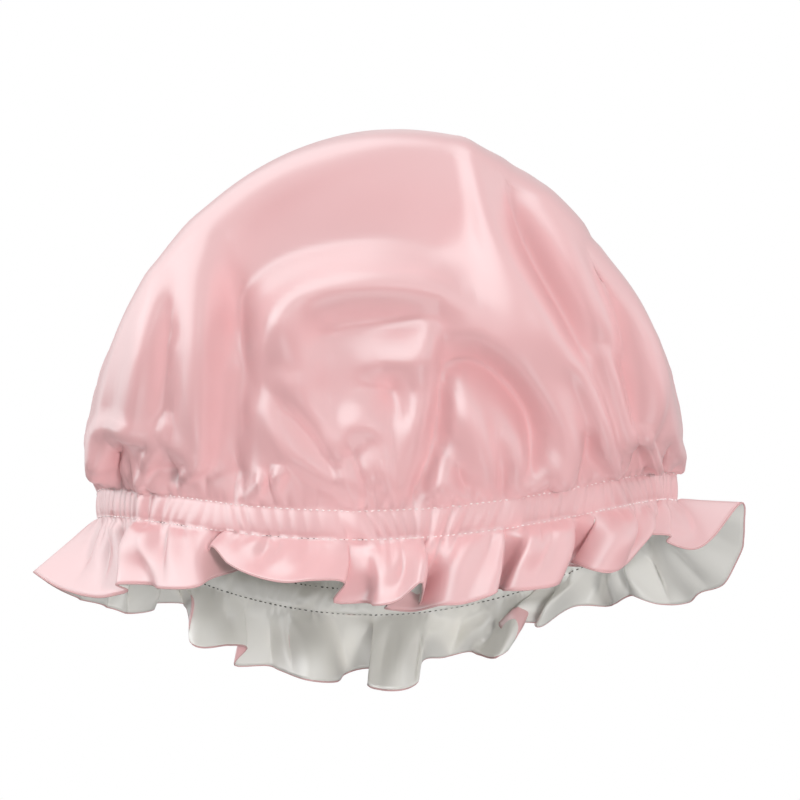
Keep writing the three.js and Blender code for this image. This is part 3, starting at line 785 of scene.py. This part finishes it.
# Free edge of the ruffle: the turn of the cloth at the band in degrees, the pixel of the photograph
# where its edge shows, and how far it stands out from the band in mm
RUFFLE_EDGE = [
    # right flare, front side to back side
    (343, 668, 542, 14), (347, 693, 549, 22), (351, 713, 537, 30), (355, 741, 503, 27),
    (0, 744, 526, 28), (6, 740, 556, 28), (11, 726, 583, 26), (16, 700, 592, 20),
    (21, 690, 602, 16), (27, 661, 604, 6),
    # back, right to left
    (32, 632, 595, 2), (37, 618, 603, 8), (42, 590, 606, 14), (47, 546, 625, 6),
    (51, 536, 624, 4), (55, 518, 622, 6), (58, 513, 640, 2), (62, 497, 657, -4),
    (66, 480, 655, 4), (70, 470, 651, 12), (75, 444, 657, 12), (79, 423, 660, 5),
    (82, 416, 684, -4), (87, 386, 690, -6), (91, 368, 684, -2), (94, 386, 672, 6),
    (98, 380, 668, 12), (101, 345, 674, 10), (104, 336, 681, 0), (109, 305, 679, -4),
    (114, 280, 670, 4), (118, 250, 665, 10), (122, 246, 648, 8), (127, 228, 645, 0),
    (132, 194, 645, -2), (136, 186, 615, 8), (142, 166, 603, 14), (148, 150, 609, 9),
    (155, 128, 613, 4), (163, 106, 606, 12), (173, 68, 594, 20),
    # front, left to right
    (183, 34, 572, 24), (192, 60, 588, 26), (200, 95, 597, 24), (207, 119, 594, 16),
    (212, 127, 590, 13), (216, 133, 584, 12), (223, 160, 588, 18), (230, 195, 587, 17),
    (235, 214, 577, 8), (238, 224, 568, -1), (240, 211, 546, 6), (243, 228, 563, 9),
    (248, 255, 576, 13), (253, 285, 582, 17), (258, 315, 580, 18), (262, 345, 583, 10),
    (264.5, 350, 602, 6), (269, 375, 605, 13), (273, 399, 600, 18), (275.5, 422, 582, 21),
    (277.5, 401, 608, 6), (281, 412, 611, 8), (285, 440, 605, 15), (289, 466, 603, 17),
    (292, 497, 591, 15), (294, 481, 588, 3), (298, 505, 590, 12), (303, 535, 589, 16),
    (307, 560, 582, 12), (310, 567, 566, 0), (313, 572, 562, 6), (317, 594, 570, 16),
    (322, 612, 572, 20), (328, 628, 562, 21), (334, 641, 543, 17), (339, 653, 535, 9),
]


def tucked_edge():
    """The drawn edge, with the cloth between its folds tucked behind the folds on both sides."""
    rows = []
    for index, (turn, px, py, reach) in enumerate(RUFFLE_EDGE):
        before = RUFFLE_EDGE[index - 1]
        after = RUFFLE_EDGE[(index + 1) % len(RUFFLE_EDGE)]
        shown = -1 if BACK_FROM < turn < BACK_TO else 1
        height = reach * shown
        beside = (before[3] * shown, after[3] * shown)
        if min(beside) <= height or max(beside) - height < TUCK_FROM:
            rows.append((turn, px, py, reach))
            continue
        spread = math.copysign(TUCK_WIDTH, after[1] - before[1])
        rows.append((turn - TUCK_SHARE * ((turn - before[0]) % 360), px - spread, py, reach))
        rows.append((turn + TUCK_SHARE * ((after[0] - turn) % 360), px + spread, py, reach))
    return rows


def edge_curve():
    """Turns and points of the ruffle's free edge, in order round the head."""
    rows = tucked_edge()
    turns = np.radians([row[0] % 360 for row in rows])
    pixels = np.array([row[1:3] for row in rows], dtype=float)
    reach = np.array([row[3] for row in rows], dtype=float)
    at_back = (turns > math.radians(BACK_FROM)) & (turns < math.radians(BACK_TO))
    front = np.where(reach < RUFFLE_MIDDLE, mix(RUFFLE_MIDDLE, reach, RUFFLE_VALLEY_DEPTH), reach)
    fold_depth = np.where(reach < BACK_MIDDLE, BACK_FRONT_DEPTH, BACK_GAP_DEPTH)
    reach = np.where(at_back, mix(BACK_MIDDLE, reach, fold_depth), front) * MM
    depth = band(turns)[:, 1] + reach * band_out(turns)[:, 1]
    points = photo_point(pixels[:, 0], pixels[:, 1], depth)
    order = np.argsort(turns)
    return turns[order], points[order]


def bridged(t, start, leave, end, arrive):
    """Smooth curve from a start to an end, by the directions in which it leaves and arrives."""
    return (
        start * (1 + 2 * t) * (1 - t) ** 2
        + leave * t * (1 - t) ** 2
        + end * t * t * (3 - 2 * t)
        + arrive * t * t * (t - 1)
    )


def smooth_loop(turns, values, at):
    """Smooth closed curve through values at turns, read at other turns."""
    knots = np.concatenate([turns[-2:] - FULL_TURN, turns, turns[:2] + FULL_TURN])
    data = np.concatenate([values[-2:], values, values[:2]])
    slopes = np.zeros_like(data)
    slopes[1:-1] = (data[2:] - data[:-2]) / (knots[2:] - knots[:-2])[:, None]
    at = np.mod(at, FULL_TURN)
    low = np.clip(np.searchsorted(knots, at, side="right") - 1, 1, len(knots) - 3)
    width = (knots[low + 1] - knots[low])[..., None]
    t = (at[..., None] - knots[low][..., None]) / width
    return bridged(t, data[low], slopes[low] * width, data[low + 1], slopes[low + 1] * width)


EDGE_TURNS, EDGE_POINTS = edge_curve()


def edge_middle():
    """The free edge without its folds: only its slow waves round the head."""
    steps = np.arange(EDGE_STEPS) / EDGE_STEPS * FULL_TURN
    waves = np.fft.rfft(smooth_loop(EDGE_TURNS, EDGE_POINTS, steps), axis=0)
    waves[EDGE_SLOW_WAVES:] = 0
    return steps, np.fft.irfft(waves, n=len(steps), axis=0)


MIDDLE_TURNS, MIDDLE_POINTS = edge_middle()


# How the ruffle leaves the casing, for its length: downward step, and outward step by turn in degrees
RUFFLE_FALLS = 0.75
RUFFLE_LEAVES = [(0, 0.42), (165, 0.3), (185, 0.1), (225, 0.3), (240, 0.42), (340, 0.42)]

# Cones of the ruffle's front and scoops of its back: fine pleats in each, how far they are lowered or
# raised, depth of a scoop for its pleats, distance from the row, reach, and how fast the back sets in
CONE_PLEATS = 4
CONE_LOWERED = 2 * MM
CONE_MIDDLE = 13 * MM
CONE_REACH = 11 * MM
SCOOP_PLEATS = 3
SCOOP_RAISED = 3 * MM
SCOOP_DEPTH = 2.2
SCOOP_MIDDLE = 17 * MM
SCOOP_REACH = 13 * MM
BACK_BEGINS = 4

# Valleys between the cones under the lower row: turn and half width in degrees, and depth in mm
RUFFLE_VALLEYS = [(203, 2, 2), (222, 2, 2), (228, 2, 2), (248.5, 1.8, 3), (255.5, 1.8, 2.5)]
VALLEY_MIDDLE = 9 * MM
VALLEY_REACH = 9 * MM


def ruffle_cloth(turn, flat):
    fall = np.clip((flat - LOWER_ROW_FLAT) / RUFFLE_FLAT, 0, 1)
    base = band(turn) - UP * (CASING_FLAT / 2)
    edge = smooth_loop(MIDDLE_TURNS, MIDDLE_POINTS, turn)
    fold = smooth_loop(EDGE_TURNS, EDGE_POINTS, turn) - edge
    outward = read_round(turn, RUFFLE_LEAVES)
    leave = (band_out(turn) * outward[..., None] - UP * RUFFLE_FALLS) * RUFFLE_FLAT
    arrive = (3 * (edge - base) - leave) / 2
    t = fall[..., None]
    point = bridged(t, base, leave, edge, arrive)
    below = np.maximum(flat - LOWER_ROW_FLAT, 0)
    pleat_turn = drifted(turn, flat)
    cones = pleats(pleat_turn, CONE_PLEATS, JOINED_POWER) - CONE_LOWERED
    cones *= hill(below, CONE_MIDDLE, CONE_REACH) * read_round(turn, FULLNESS)
    scoops = SCOOP_RAISED - SCOOP_DEPTH * pleats(pleat_turn, SCOOP_PLEATS, JOINED_POWER)
    scoops *= hill(below, SCOOP_MIDDLE, SCOOP_REACH)
    waves = mix(cones, scoops, ease(BACK_BEGINS * np.sin(turn))) * ease(below / JOINED_START)
    for middle, half_width, depth in RUFFLE_VALLEYS:
        across = hill(np.degrees(turn) % 360, middle, half_width)
        waves -= depth * MM * across * hill(below, VALLEY_MIDDLE, VALLEY_REACH)
    relief = gathers(pleat_turn, below) * (1 - ease(fall)) + waves
    return point + fold * t**RUFFLE_OPENS + band_out(turn) * relief[..., None]


def gathered(turn, flat):
    """Where a point of the flat cloth lies once the bonnet is sewn and gathered."""
    place = np.empty(turn.shape + (3,))
    for shape, part in (
        (crown_cloth, flat <= UPPER_ROW_FLAT),
        (casing_cloth, (flat > UPPER_ROW_FLAT) & (flat <= LOWER_ROW_FLAT)),
        (ruffle_cloth, flat > LOWER_ROW_FLAT),
    ):
        place[part] = shape(turn[part], flat[part])
    return place


# Step along the cloth that gives its directions, and distance from a stitch row within which its layers
# lie straight out from the band
FRAME_STEP = 0.4 * MM
ROW_REACH = 3 * MM


def cloth_frame(turn, flat):
    """Directions along the rows, down the cloth and out of it, where the cloth is gathered."""
    step_turn = FULL_TURN / COLUMNS / 2
    along = unit(gathered(turn + step_turn, flat) - gathered(turn - step_turn, flat))
    lower = np.minimum(flat + FRAME_STEP, EDGE_FLAT)
    upper = np.maximum(flat - FRAME_STEP, 0)
    down = unit(gathered(turn, lower) - gathered(turn, upper))
    out = unit(np.cross(down, along))
    out[flat < FRAME_STEP] = UP
    _, apart = casing_pleats(turn, flat)
    near_row = np.maximum(hill(flat, UPPER_ROW_FLAT, ROW_REACH), hill(flat, LOWER_ROW_FLAT, ROW_REACH))
    out = unit(mix(out, band_out(turn), np.maximum(apart, near_row)[..., None]))
    return along, down, out


def layer_stand_off(turn, flat):
    """Distance of each layer's hidden face from the middle surface: together at the stitch rows and at
    the edge, pleated round the elastic between the rows, and a little apart in the crown."""
    relief, apart = casing_pleats(turn, flat)
    crown = CROWN_GAP * ease((UPPER_ROW_FLAT - flat) / CROWN_GAP_FADE)
    room = ELASTIC_ROOM + LAP_ROOM * hill(turn, NAPE, LAP_ROOM_TURN)
    return LAYER_GAP + (room + relief) * apart + crown


# Rows of each part of the cloth, out from the centre
TOP_FLAT = 44 * MM
FACE_FLAT = 168 * MM
TOP_ROWS = np.linspace(0, TOP_FLAT, 21)
FACE_ROWS = np.linspace(TOP_FLAT, FACE_FLAT, 50)
SKIRT_ROWS = np.linspace(FACE_FLAT, UPPER_ROW_FLAT, 11)
CASING_ROWS = np.linspace(UPPER_ROW_FLAT, LOWER_ROW_FLAT, 9)
RUFFLE_ROWS = np.linspace(LOWER_ROW_FLAT, EDGE_FLAT, 19)
GATHERED_ROWS = np.concatenate([SKIRT_ROWS, CASING_ROWS[1:], RUFFLE_ROWS[1:]])


def flat_disc():
    """Flat disc of satin, with more columns towards the gathers."""
    bm = bmesh.new()
    rings = [(TOP_ROWS, TOP_COLUMNS), (FACE_ROWS, FACE_COLUMNS), (GATHERED_ROWS, COLUMNS)]
    for index, (radii, columns) in enumerate(rings):
        ring = rolled_ring(radii, columns)
        if index + 1 < len(rings):
            border = [e for e in ring.edges if e.is_boundary and e.verts[0].co.length > radii[-2]]
            bmesh.ops.subdivide_edges(ring, edges=border, cuts=rings[index + 1][1] // columns - 1)
        part = made("ring_of_cloth", ring)
        bm.from_mesh(part)
        bpy.data.meshes.remove(part)
    bmesh.ops.remove_doubles(bm, verts=bm.verts[:], dist=DISC_MERGE)
    return bm


def finished(name, mesh, material, slot, *nodes):
    """A piece of the bonnet, which stands for its nodes of the frame."""
    piece = bpy.data.objects.new(name, mesh)
    bpy.context.collection.objects.link(piece)
    mesh.materials.append(material)
    mesh.polygons.foreach_set("use_smooth", np.ones(len(mesh.polygons), dtype=bool))
    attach(piece, "root")
    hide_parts(*nodes)
    return piece


def cloth_layer(prefix, side, material, slot):
    """One layer of satin: a disc cut flat and gathered. side is 1 for the outside, -1 for the lining."""
    name = f"{prefix}_satin"
    bm = flat_disc()
    bmesh.ops.recalc_face_normals(bm, faces=bm.faces[:])
    if bm.faces[0].normal.z * side < 0:
        bmesh.ops.reverse_faces(bm, faces=bm.faces[:])
    mesh = made(name, bm)
    flat, turn = flat_places(mesh)
    spread = np.stack([np.cos(turn) * flat, np.sin(turn) * flat], axis=-1)
    mapped(mesh, "flat_cloth", spread / (2 * EDGE_FLAT) + 0.5)
    out = cloth_frame(turn, flat)[2]
    stand_off = side * (layer_stand_off(turn, flat) + SATIN_THICKNESS)
    laid(mesh, gathered(turn, flat) + out * stand_off[:, None])
    nodes = [f"{prefix}_{part}" for part in ("crown", "casing", "ruffle")]
    piece = finished(name, mesh, material, slot, *nodes)
    wall = piece.modifiers.new("satin_thickness", "SOLIDIFY")
    wall.thickness = SATIN_THICKNESS
    wall.offset = -1


def stitch_row(name, row_flat, side, material, slot, node):
    """One thread of a stitch row: it follows the gathers, and dips through the cloth between stitches."""
    mesh, turn, angle = rolled_tube(name, STITCHES_PER_ROW * STITCH_STEPS, THREAD_SIDES)
    flat = np.full_like(turn, row_flat)
    _, down, out = cloth_frame(turn, flat)
    shown = np.abs(np.sin(turn * STITCHES_PER_ROW / 2)) ** STITCH_POINTEDNESS
    rise = THREAD_RADIUS * mix(-THREAD_DIPS, THREAD_STANDS_OUT, shown)
    centre = side * (layer_stand_off(turn, flat) + SATIN_THICKNESS + rise)
    radius = THREAD_RADIUS * mix(THREAD_LEAST, 1, shown)
    across = down * (np.cos(angle) * radius)[:, None] + out * (np.sin(angle) * radius + centre)[:, None]
    laid(mesh, gathered(turn, flat) + across)
    finished(name, mesh, material, slot, node)


def turned_edge(material):
    """The ruffle's edge, where the two layers are sewn together and turned."""
    mesh, turn, angle = rolled_tube("turned_edge", COLUMNS, EDGE_SIDES)
    flat = np.full_like(turn, EDGE_FLAT)
    _, down, out = cloth_frame(turn, flat)
    across = down * np.cos(angle)[:, None] + out * np.sin(angle)[:, None]
    laid(mesh, gathered(turn, flat) + across * EDGE_RADIUS)
    finished("turned_edge", mesh, material, "pink_thread", "edge_seam")


def lapped_path(along):
    """Turn and outward step of the elastic at a share of its length: its ends lap at the nape."""
    lap_turn = ELASTIC_LAP / BAND_HALF_WIDTH
    turn = NAPE + mix(-lap_turn / 2, FULL_TURN + lap_turn / 2, along)
    outer_end = ease((along - 1 + LAP_SHARE) / LAP_BLEND)
    inner_end = ease((LAP_SHARE - along) / LAP_BLEND)
    return turn, (ELASTIC_THICKNESS + LAP_CLEARANCE) / 2 * (outer_end - inner_end)


def elastic_strip(material):
    """The elastic: a braided strip with cords along it, lapped at the nape."""
    bm = bmesh.new()
    bmesh.ops.create_grid(bm, x_segments=ELASTIC_STEPS, y_segments=ELASTIC_CORDS * STEPS_PER_CORD, size=0.5)
    mesh = made("elastic_strip", bm)
    points = coordinates(mesh)
    along = points[:, 0] + 0.5
    across = points[:, 1]
    length = FULL_TURN * (BAND_HALF_WIDTH + BAND_HALF_DEPTH) / 2
    mapped(mesh, "strip", np.stack([along * length, across * ELASTIC_WIDTH], axis=-1))
    turn, step = lapped_path(along)
    cords = CORD_HEIGHT * np.abs(np.sin(math.pi * ELASTIC_CORDS * (across + 0.5)))
    place = band(turn) + UP * (across * ELASTIC_WIDTH)[:, None]
    laid(mesh, place + band_out(turn) * (step + cords)[:, None])
    piece = finished("elastic_strip", mesh, material, "elastic", "elastic_band")
    wall = piece.modifiers.new("elastic_thickness", "SOLIDIFY")
    wall.thickness = ELASTIC_THICKNESS
    wall.offset = 0


def lap_stitching(material):
    """Zigzag thread through the lap of the elastic, on its outside."""
    name = "elastic_lap_thread"
    bm = bmesh.new()
    half_lap = ELASTIC_LAP / 2 - LAP_STITCH_MARGIN
    half_width = ELASTIC_WIDTH / 2 - LAP_STITCH_MARGIN
    turns = NAPE + np.linspace(-half_lap, half_lap, LAP_STITCHES + 1) / BAND_HALF_WIDTH
    _, step = lapped_path(np.array([1.0]))
    outside = step[0] + ELASTIC_THICKNESS / 2 + THREAD_RADIUS * THREAD_STANDS_OUT
    corners = band(turns) + band_out(turns) * outside
    corners[0::2] += UP * half_width
    corners[1::2] -= UP * half_width
    for start, end in zip(corners, corners[1:]):
        run = Vector(end - start)
        turned = run.to_track_quat("X", "Z").to_matrix().to_4x4()
        place = Matrix.Translation(Vector((start + end) / 2)) @ turned
        stretch = Matrix.Diagonal((run.length / 2, THREAD_RADIUS, THREAD_RADIUS, 1))
        bmesh.ops.create_uvsphere(bm, u_segments=8, v_segments=6, radius=1, matrix=place @ stretch)
    bmesh.ops.recalc_face_normals(bm, faces=bm.faces[:])
    finished(name, made(name, bm), material, "white_thread", "elastic_lap_stitch")


def new_group(name, inputs, outputs):
    """An empty node group with named sockets, and its input and output nodes."""
    group = bpy.data.node_groups.new(name, "ShaderNodeTree")
    for title, kind in inputs:
        group.interface.new_socket(title, in_out="INPUT", socket_type=kind)
    for title, kind in outputs:
        group.interface.new_socket(title, in_out="OUTPUT", socket_type=kind)
    return group, group.nodes.new("NodeGroupInput"), group.nodes.new("NodeGroupOutput")


def feed(tree, node, inputs):
    """Sets inputs of a node to values, or links them to sockets."""
    for name, value in inputs.items():
        if isinstance(value, bpy.types.NodeSocket):
            tree.links.new(value, node.inputs[name])
        else:
            node.inputs[name].default_value = value


def add_node(tree, kind, inputs=None, **settings):
    """The outputs of a new node, with its settings and what feeds it."""
    node = tree.nodes.new(kind)
    for setting, value in settings.items():
        setattr(node, setting, value)
    feed(tree, node, inputs or {})
    return node.outputs


def satin_weave_group():
    """Satin weave on the flat cloth: long floats of warp with a few slubs, and slow clouds of colour."""
    group, given, result = new_group(
        "satin_weave",
        [("Cloth", "NodeSocketVector"), ("Threads", "NodeSocketFloat")],
        [("Height", "NodeSocketFloat"), ("Grain", "NodeSocketFloat"), ("Cloud", "NodeSocketFloat")],
    )
    cloth = given.outputs["Cloth"]
    floats = {"Vector": cloth, "Scale": given.outputs["Threads"], "Distortion": 1.5, "Detail": 1}
    warp = add_node(group, "ShaderNodeTexWave", floats, bands_direction="DIAGONAL")["Fac"]
    along_floats = {"Vector": cloth, "Rotation": (0, 0, math.pi / 4), "Scale": (180, 2400, 1)}
    stretch = add_node(group, "ShaderNodeMapping", along_floats)["Vector"]
    slubs = add_node(group, "ShaderNodeTexNoise", {"Vector": stretch, "Scale": 1, "Detail": 3})["Fac"]
    clouds = add_node(group, "ShaderNodeTexNoise", {"Vector": cloth, "Scale": 42, "Detail": 4})["Fac"]
    height = add_node(group, "ShaderNodeMath", {0: warp, 1: 0.5, 2: slubs}, operation="MULTIPLY_ADD")
    feed(group, result, {"Height": height["Value"], "Grain": slubs, "Cloud": clouds})
    return group


def thread_twist_group():
    """Twist of a sewing thread, with uneven dye."""
    group, given, result = new_group(
        "thread_twist",
        [("Place", "NodeSocketVector"), ("Twist", "NodeSocketFloat")],
        [("Height", "NodeSocketFloat"), ("Dye", "NodeSocketFloat")],
    )
    place = given.outputs["Place"]
    strands = {"Vector": place, "Scale": given.outputs["Twist"], "Distortion": 2}
    ply = add_node(group, "ShaderNodeTexWave", strands, bands_direction="DIAGONAL")["Fac"]
    dye = add_node(group, "ShaderNodeTexNoise", {"Vector": place, "Scale": 700, "Detail": 2})["Fac"]
    feed(group, result, {"Height": ply, "Dye": dye})
    return group


def new_material(name):
    material = bpy.data.materials.new(name)
    material.use_nodes = True
    return material, material.node_tree, material.node_tree.nodes["Principled BSDF"]


def between(tree, source, low, high):
    """A colour or a number between two, by a value from 0 to 1."""
    if isinstance(low, tuple):
        ends = {"Factor": source, "A": (*low, 1), "B": (*high, 1)}
        blend = add_node(tree, "ShaderNodeMix", ends, data_type="RGBA")
        return [socket for socket in blend if socket.type == "RGBA"][0]
    return add_node(tree, "ShaderNodeMapRange", {"Value": source, "To Min": low, "To Max": high})["Result"]


def bumped(tree, height, strength, depth):
    bump = {"Height": height, "Strength": strength, "Distance": depth}
    return add_node(tree, "ShaderNodeBump", bump)["Normal"]


# Threads of the satin and twists of a thread, as scales of their waves; depths of the weave, the twist and
# the braid; the satin's roughness, and how much it varies
SATIN_THREADS = 420
SATIN_DEPTH = 0.05 * MM
SATIN_ROUGHNESS = 0.35
SATIN_UNEVENNESS = 0.05
THREAD_TWISTS = 500
THREAD_DEPTH = 0.05 * MM
BRAID_DEPTH = 0.1 * MM

# Colours, deep and pale, and the tint of the satin's shine
PINK_SATIN = {"deep": (0.86, 0.455, 0.465), "pale": (0.90, 0.485, 0.495), "shine": (0.7, 1, 1)}
GREY_SATIN = {"deep": (0.86, 0.84, 0.79), "pale": (0.92, 0.90, 0.85), "shine": (1, 1, 1)}
THREAD_COLOURS = {
    "pink_thread": ((0.90, 0.76, 0.76), (0.96, 0.88, 0.88)),
    "grey_thread": ((0.03, 0.025, 0.02), (0.08, 0.07, 0.06)),
    "edge_thread": ((0.60, 0.36, 0.36), (0.68, 0.42, 0.42)),
    "white_thread": ((0.75, 0.73, 0.69), (0.85, 0.84, 0.80)),
}
BRAID_COLOURS = ((0.72, 0.7, 0.65), (0.86, 0.85, 0.81))


def satin(name, weave, deep, pale, shine):
    """Satin of one colour: glossy floats, a soft sheen and a faint weave."""
    material, tree, shader = new_material(name)
    cloth = add_node(tree, "ShaderNodeUVMap", uv_map="flat_cloth")["UV"]
    real_size = {"Vector": cloth, "Scale": (2 * EDGE_FLAT, 2 * EDGE_FLAT, 1)}
    woven = {"Cloth": add_node(tree, "ShaderNodeMapping", real_size)["Vector"], "Threads": SATIN_THREADS}
    fibre = add_node(tree, "ShaderNodeGroup", woven, node_tree=weave)
    smoother = SATIN_ROUGHNESS - SATIN_UNEVENNESS
    rougher = SATIN_ROUGHNESS + SATIN_UNEVENNESS
    feed(tree, shader, {
        "Base Color": between(tree, fibre["Cloud"], deep, pale),
        "Roughness": between(tree, fibre["Grain"], smoother, rougher),
        "Normal": bumped(tree, fibre["Height"], 0.12, SATIN_DEPTH),
        "IOR": 3.3,
        "Specular Tint": (*shine, 1),
        "Sheen Weight": 0.15,
        "Sheen Roughness": 0.4,
    })
    return material


def thread(name, twist, deep, pale):
    """Sewing thread of one colour."""
    material, tree, shader = new_material(name)
    place = add_node(tree, "ShaderNodeTexCoord")["Object"]
    ply = add_node(tree, "ShaderNodeGroup", {"Place": place, "Twist": THREAD_TWISTS}, node_tree=twist)
    feed(tree, shader, {
        "Base Color": between(tree, ply["Dye"], deep, pale),
        "Normal": bumped(tree, ply["Height"], 0.3, THREAD_DEPTH),
        "Roughness": 0.6,
    })
    return material


def braided_elastic():
    """White braid: ribs across the strip between its cords."""
    material, tree, shader = new_material("elastic_braid")
    strip = add_node(tree, "ShaderNodeUVMap", uv_map="strip")["UV"]
    across = {"Vector": strip, "Scale": 350, "Distortion": 1}
    ribs = add_node(tree, "ShaderNodeTexWave", across, bands_direction="X")["Fac"]
    feed(tree, shader, {
        "Base Color": between(tree, ribs, *BRAID_COLOURS),
        "Normal": bumped(tree, ribs, 0.5, BRAID_DEPTH),
        "Roughness": 0.85,
    })
    return material


# Studio: the white surround as reflections see it, brightest on the key side, and as dull cloth is lit by
# it, brightest above; the floor; and the soft boxes' places, sizes in metres and powers in watts
KEY_SIDE = (-0.82, 0, 0.57)
KEY_FADES_FROM = 0.3
KEY_FULL_FROM = 0.6
SHADE_LIGHT = 0.42
KEY_LIGHT = 1.3
SKY_FROM = -0.3
SKY_FULL_FROM = 0.3
LIGHT_FROM_BELOW = 0.04
LIGHT_FROM_ABOVE = 0.8
FLOOR_Z = -1.4
FLOOR_SIZE = 6
FLOOR_GREY = 0.15
LIT_POINT = (0, 0, 0.06)
SOFT_BOXES = [
    ("front_box", (0.5, -1.4, 0.1), 0.25, 10),
    ("low_box", (0.1, -0.7, -0.9), 0.6, 4.5),
    ("left_box", (-1.3, -0.4, 0.5), 0.8, 7),
    ("right_box", (1.3, -0.1, 0.5), 0.8, 4),
]


def smooth_range(tree, source, start, end, low, high):
    """A value that rises smoothly from low to high while its source goes from start to end."""
    limits = {"Value": source, "From Min": start, "From Max": end, "To Min": low, "To Max": high}
    return add_node(tree, "ShaderNodeMapRange", limits, interpolation_type="SMOOTHSTEP")["Result"]


def white_surround():
    """The world: plain white for the camera, with a bright key side for reflections and an even sky for
    dull cloth."""
    world = bpy.data.worlds.new("studio_white")
    world.use_nodes = True
    tree = world.node_tree
    toward = add_node(tree, "ShaderNodeTexCoord")["Generated"]
    key = {0: toward, 1: Vector(KEY_SIDE).normalized()}
    facing = add_node(tree, "ShaderNodeVectorMath", key, operation="DOT_PRODUCT")["Value"]
    height = add_node(tree, "ShaderNodeSeparateXYZ", {"Vector": toward})["Z"]
    glow = smooth_range(tree, facing, KEY_FADES_FROM, KEY_FULL_FROM, SHADE_LIGHT, KEY_LIGHT)
    sky = smooth_range(tree, height, SKY_FROM, SKY_FULL_FROM, LIGHT_FROM_BELOW, LIGHT_FROM_ABOVE)
    seen = add_node(tree, "ShaderNodeLightPath")
    light = between(tree, seen["Is Diffuse Ray"], glow, sky)
    level = between(tree, seen["Is Camera Ray"], light, 1.0)
    feed(tree, tree.nodes["Background"], {"Color": (1, 1, 1, 1), "Strength": level})
    bpy.context.scene.world = world


def paper_floor():
    """A pale floor far below, white to the camera."""
    bm = bmesh.new()
    level = Matrix.Translation((0, 0, FLOOR_Z))
    bmesh.ops.create_grid(bm, x_segments=2, y_segments=2, size=FLOOR_SIZE, matrix=level)
    floor = bpy.data.objects.new("studio_floor", made("studio_floor", bm))
    bpy.context.scene.collection.objects.link(floor)
    paper, tree, shader = new_material("white_paper")
    feed(tree, shader, {"Base Color": (FLOOR_GREY, FLOOR_GREY, FLOOR_GREY, 1), "Roughness": 0.9})
    white = add_node(tree, "ShaderNodeEmission")["Emission"]
    seen = add_node(tree, "ShaderNodeLightPath")["Is Camera Ray"]
    blend = add_node(tree, "ShaderNodeMixShader", {"Fac": seen, 1: shader.outputs["BSDF"], 2: white})
    feed(tree, tree.nodes["Material Output"], {"Surface": blend["Shader"]})
    floor.data.materials.append(paper)


def soft_box(name, place, size, watts):
    light = bpy.data.lights.new(name, "AREA")
    light.shape = "SQUARE"
    light.size = size
    light.energy = watts
    lamp = bpy.data.objects.new(name, light)
    lamp.location = place
    lamp.visible_glossy = False
    lamp.rotation_euler = (Vector(LIT_POINT) - Vector(place)).to_track_quat("-Z", "Y").to_euler()
    bpy.context.scene.collection.objects.link(lamp)


def photo_camera():
    """The camera, level and square to the bonnet."""
    camera = bpy.data.cameras.new("photo_camera")
    camera.sensor_width = SENSOR_MM
    camera.lens = SENSOR_MM * CAMERA_DISTANCE * PIXELS_PER_M / PHOTO_PIXELS
    view = bpy.data.objects.new("photo_camera", camera)
    view.location = (CAMERA_X, -CAMERA_DISTANCE, CAMERA_Z)
    view.rotation_euler = (math.pi / 2, 0, 0)
    bpy.context.scene.collection.objects.link(view)
    bpy.context.scene.camera = view


def studio():
    """White studio: an even surround, a pale floor and soft boxes."""
    bpy.context.scene.view_settings.view_transform = "Standard"
    white_surround()
    paper_floor()
    for soft_box_row in SOFT_BOXES:
        soft_box(*soft_box_row)
    photo_camera()


weave = satin_weave_group()
twist = thread_twist_group()
pink_satin = satin("pink_satin", weave, **PINK_SATIN)
grey_satin = satin("grey_satin", weave, **GREY_SATIN)
threads = {name: thread(name, twist, *colours) for name, colours in THREAD_COLOURS.items()}

cloth_layer("outer", 1, pink_satin, "pink_satin")
cloth_layer("lining", -1, grey_satin, "grey_satin")
for side_name, side, slot in (("outer", 1, "pink_thread"), ("lining", -1, "grey_thread")):
    for row_name, row_flat in (("upper", UPPER_ROW_FLAT), ("lower", LOWER_ROW_FLAT)):
        row = f"{row_name}_stitch_row_{side_name}"
        stitch_row(f"{row_name}_row_thread_{side_name}", row_flat, side, threads[slot], slot, row)
turned_edge(threads["edge_thread"])
elastic_strip(braided_elastic())
lap_stitching(threads["white_thread"])
studio()
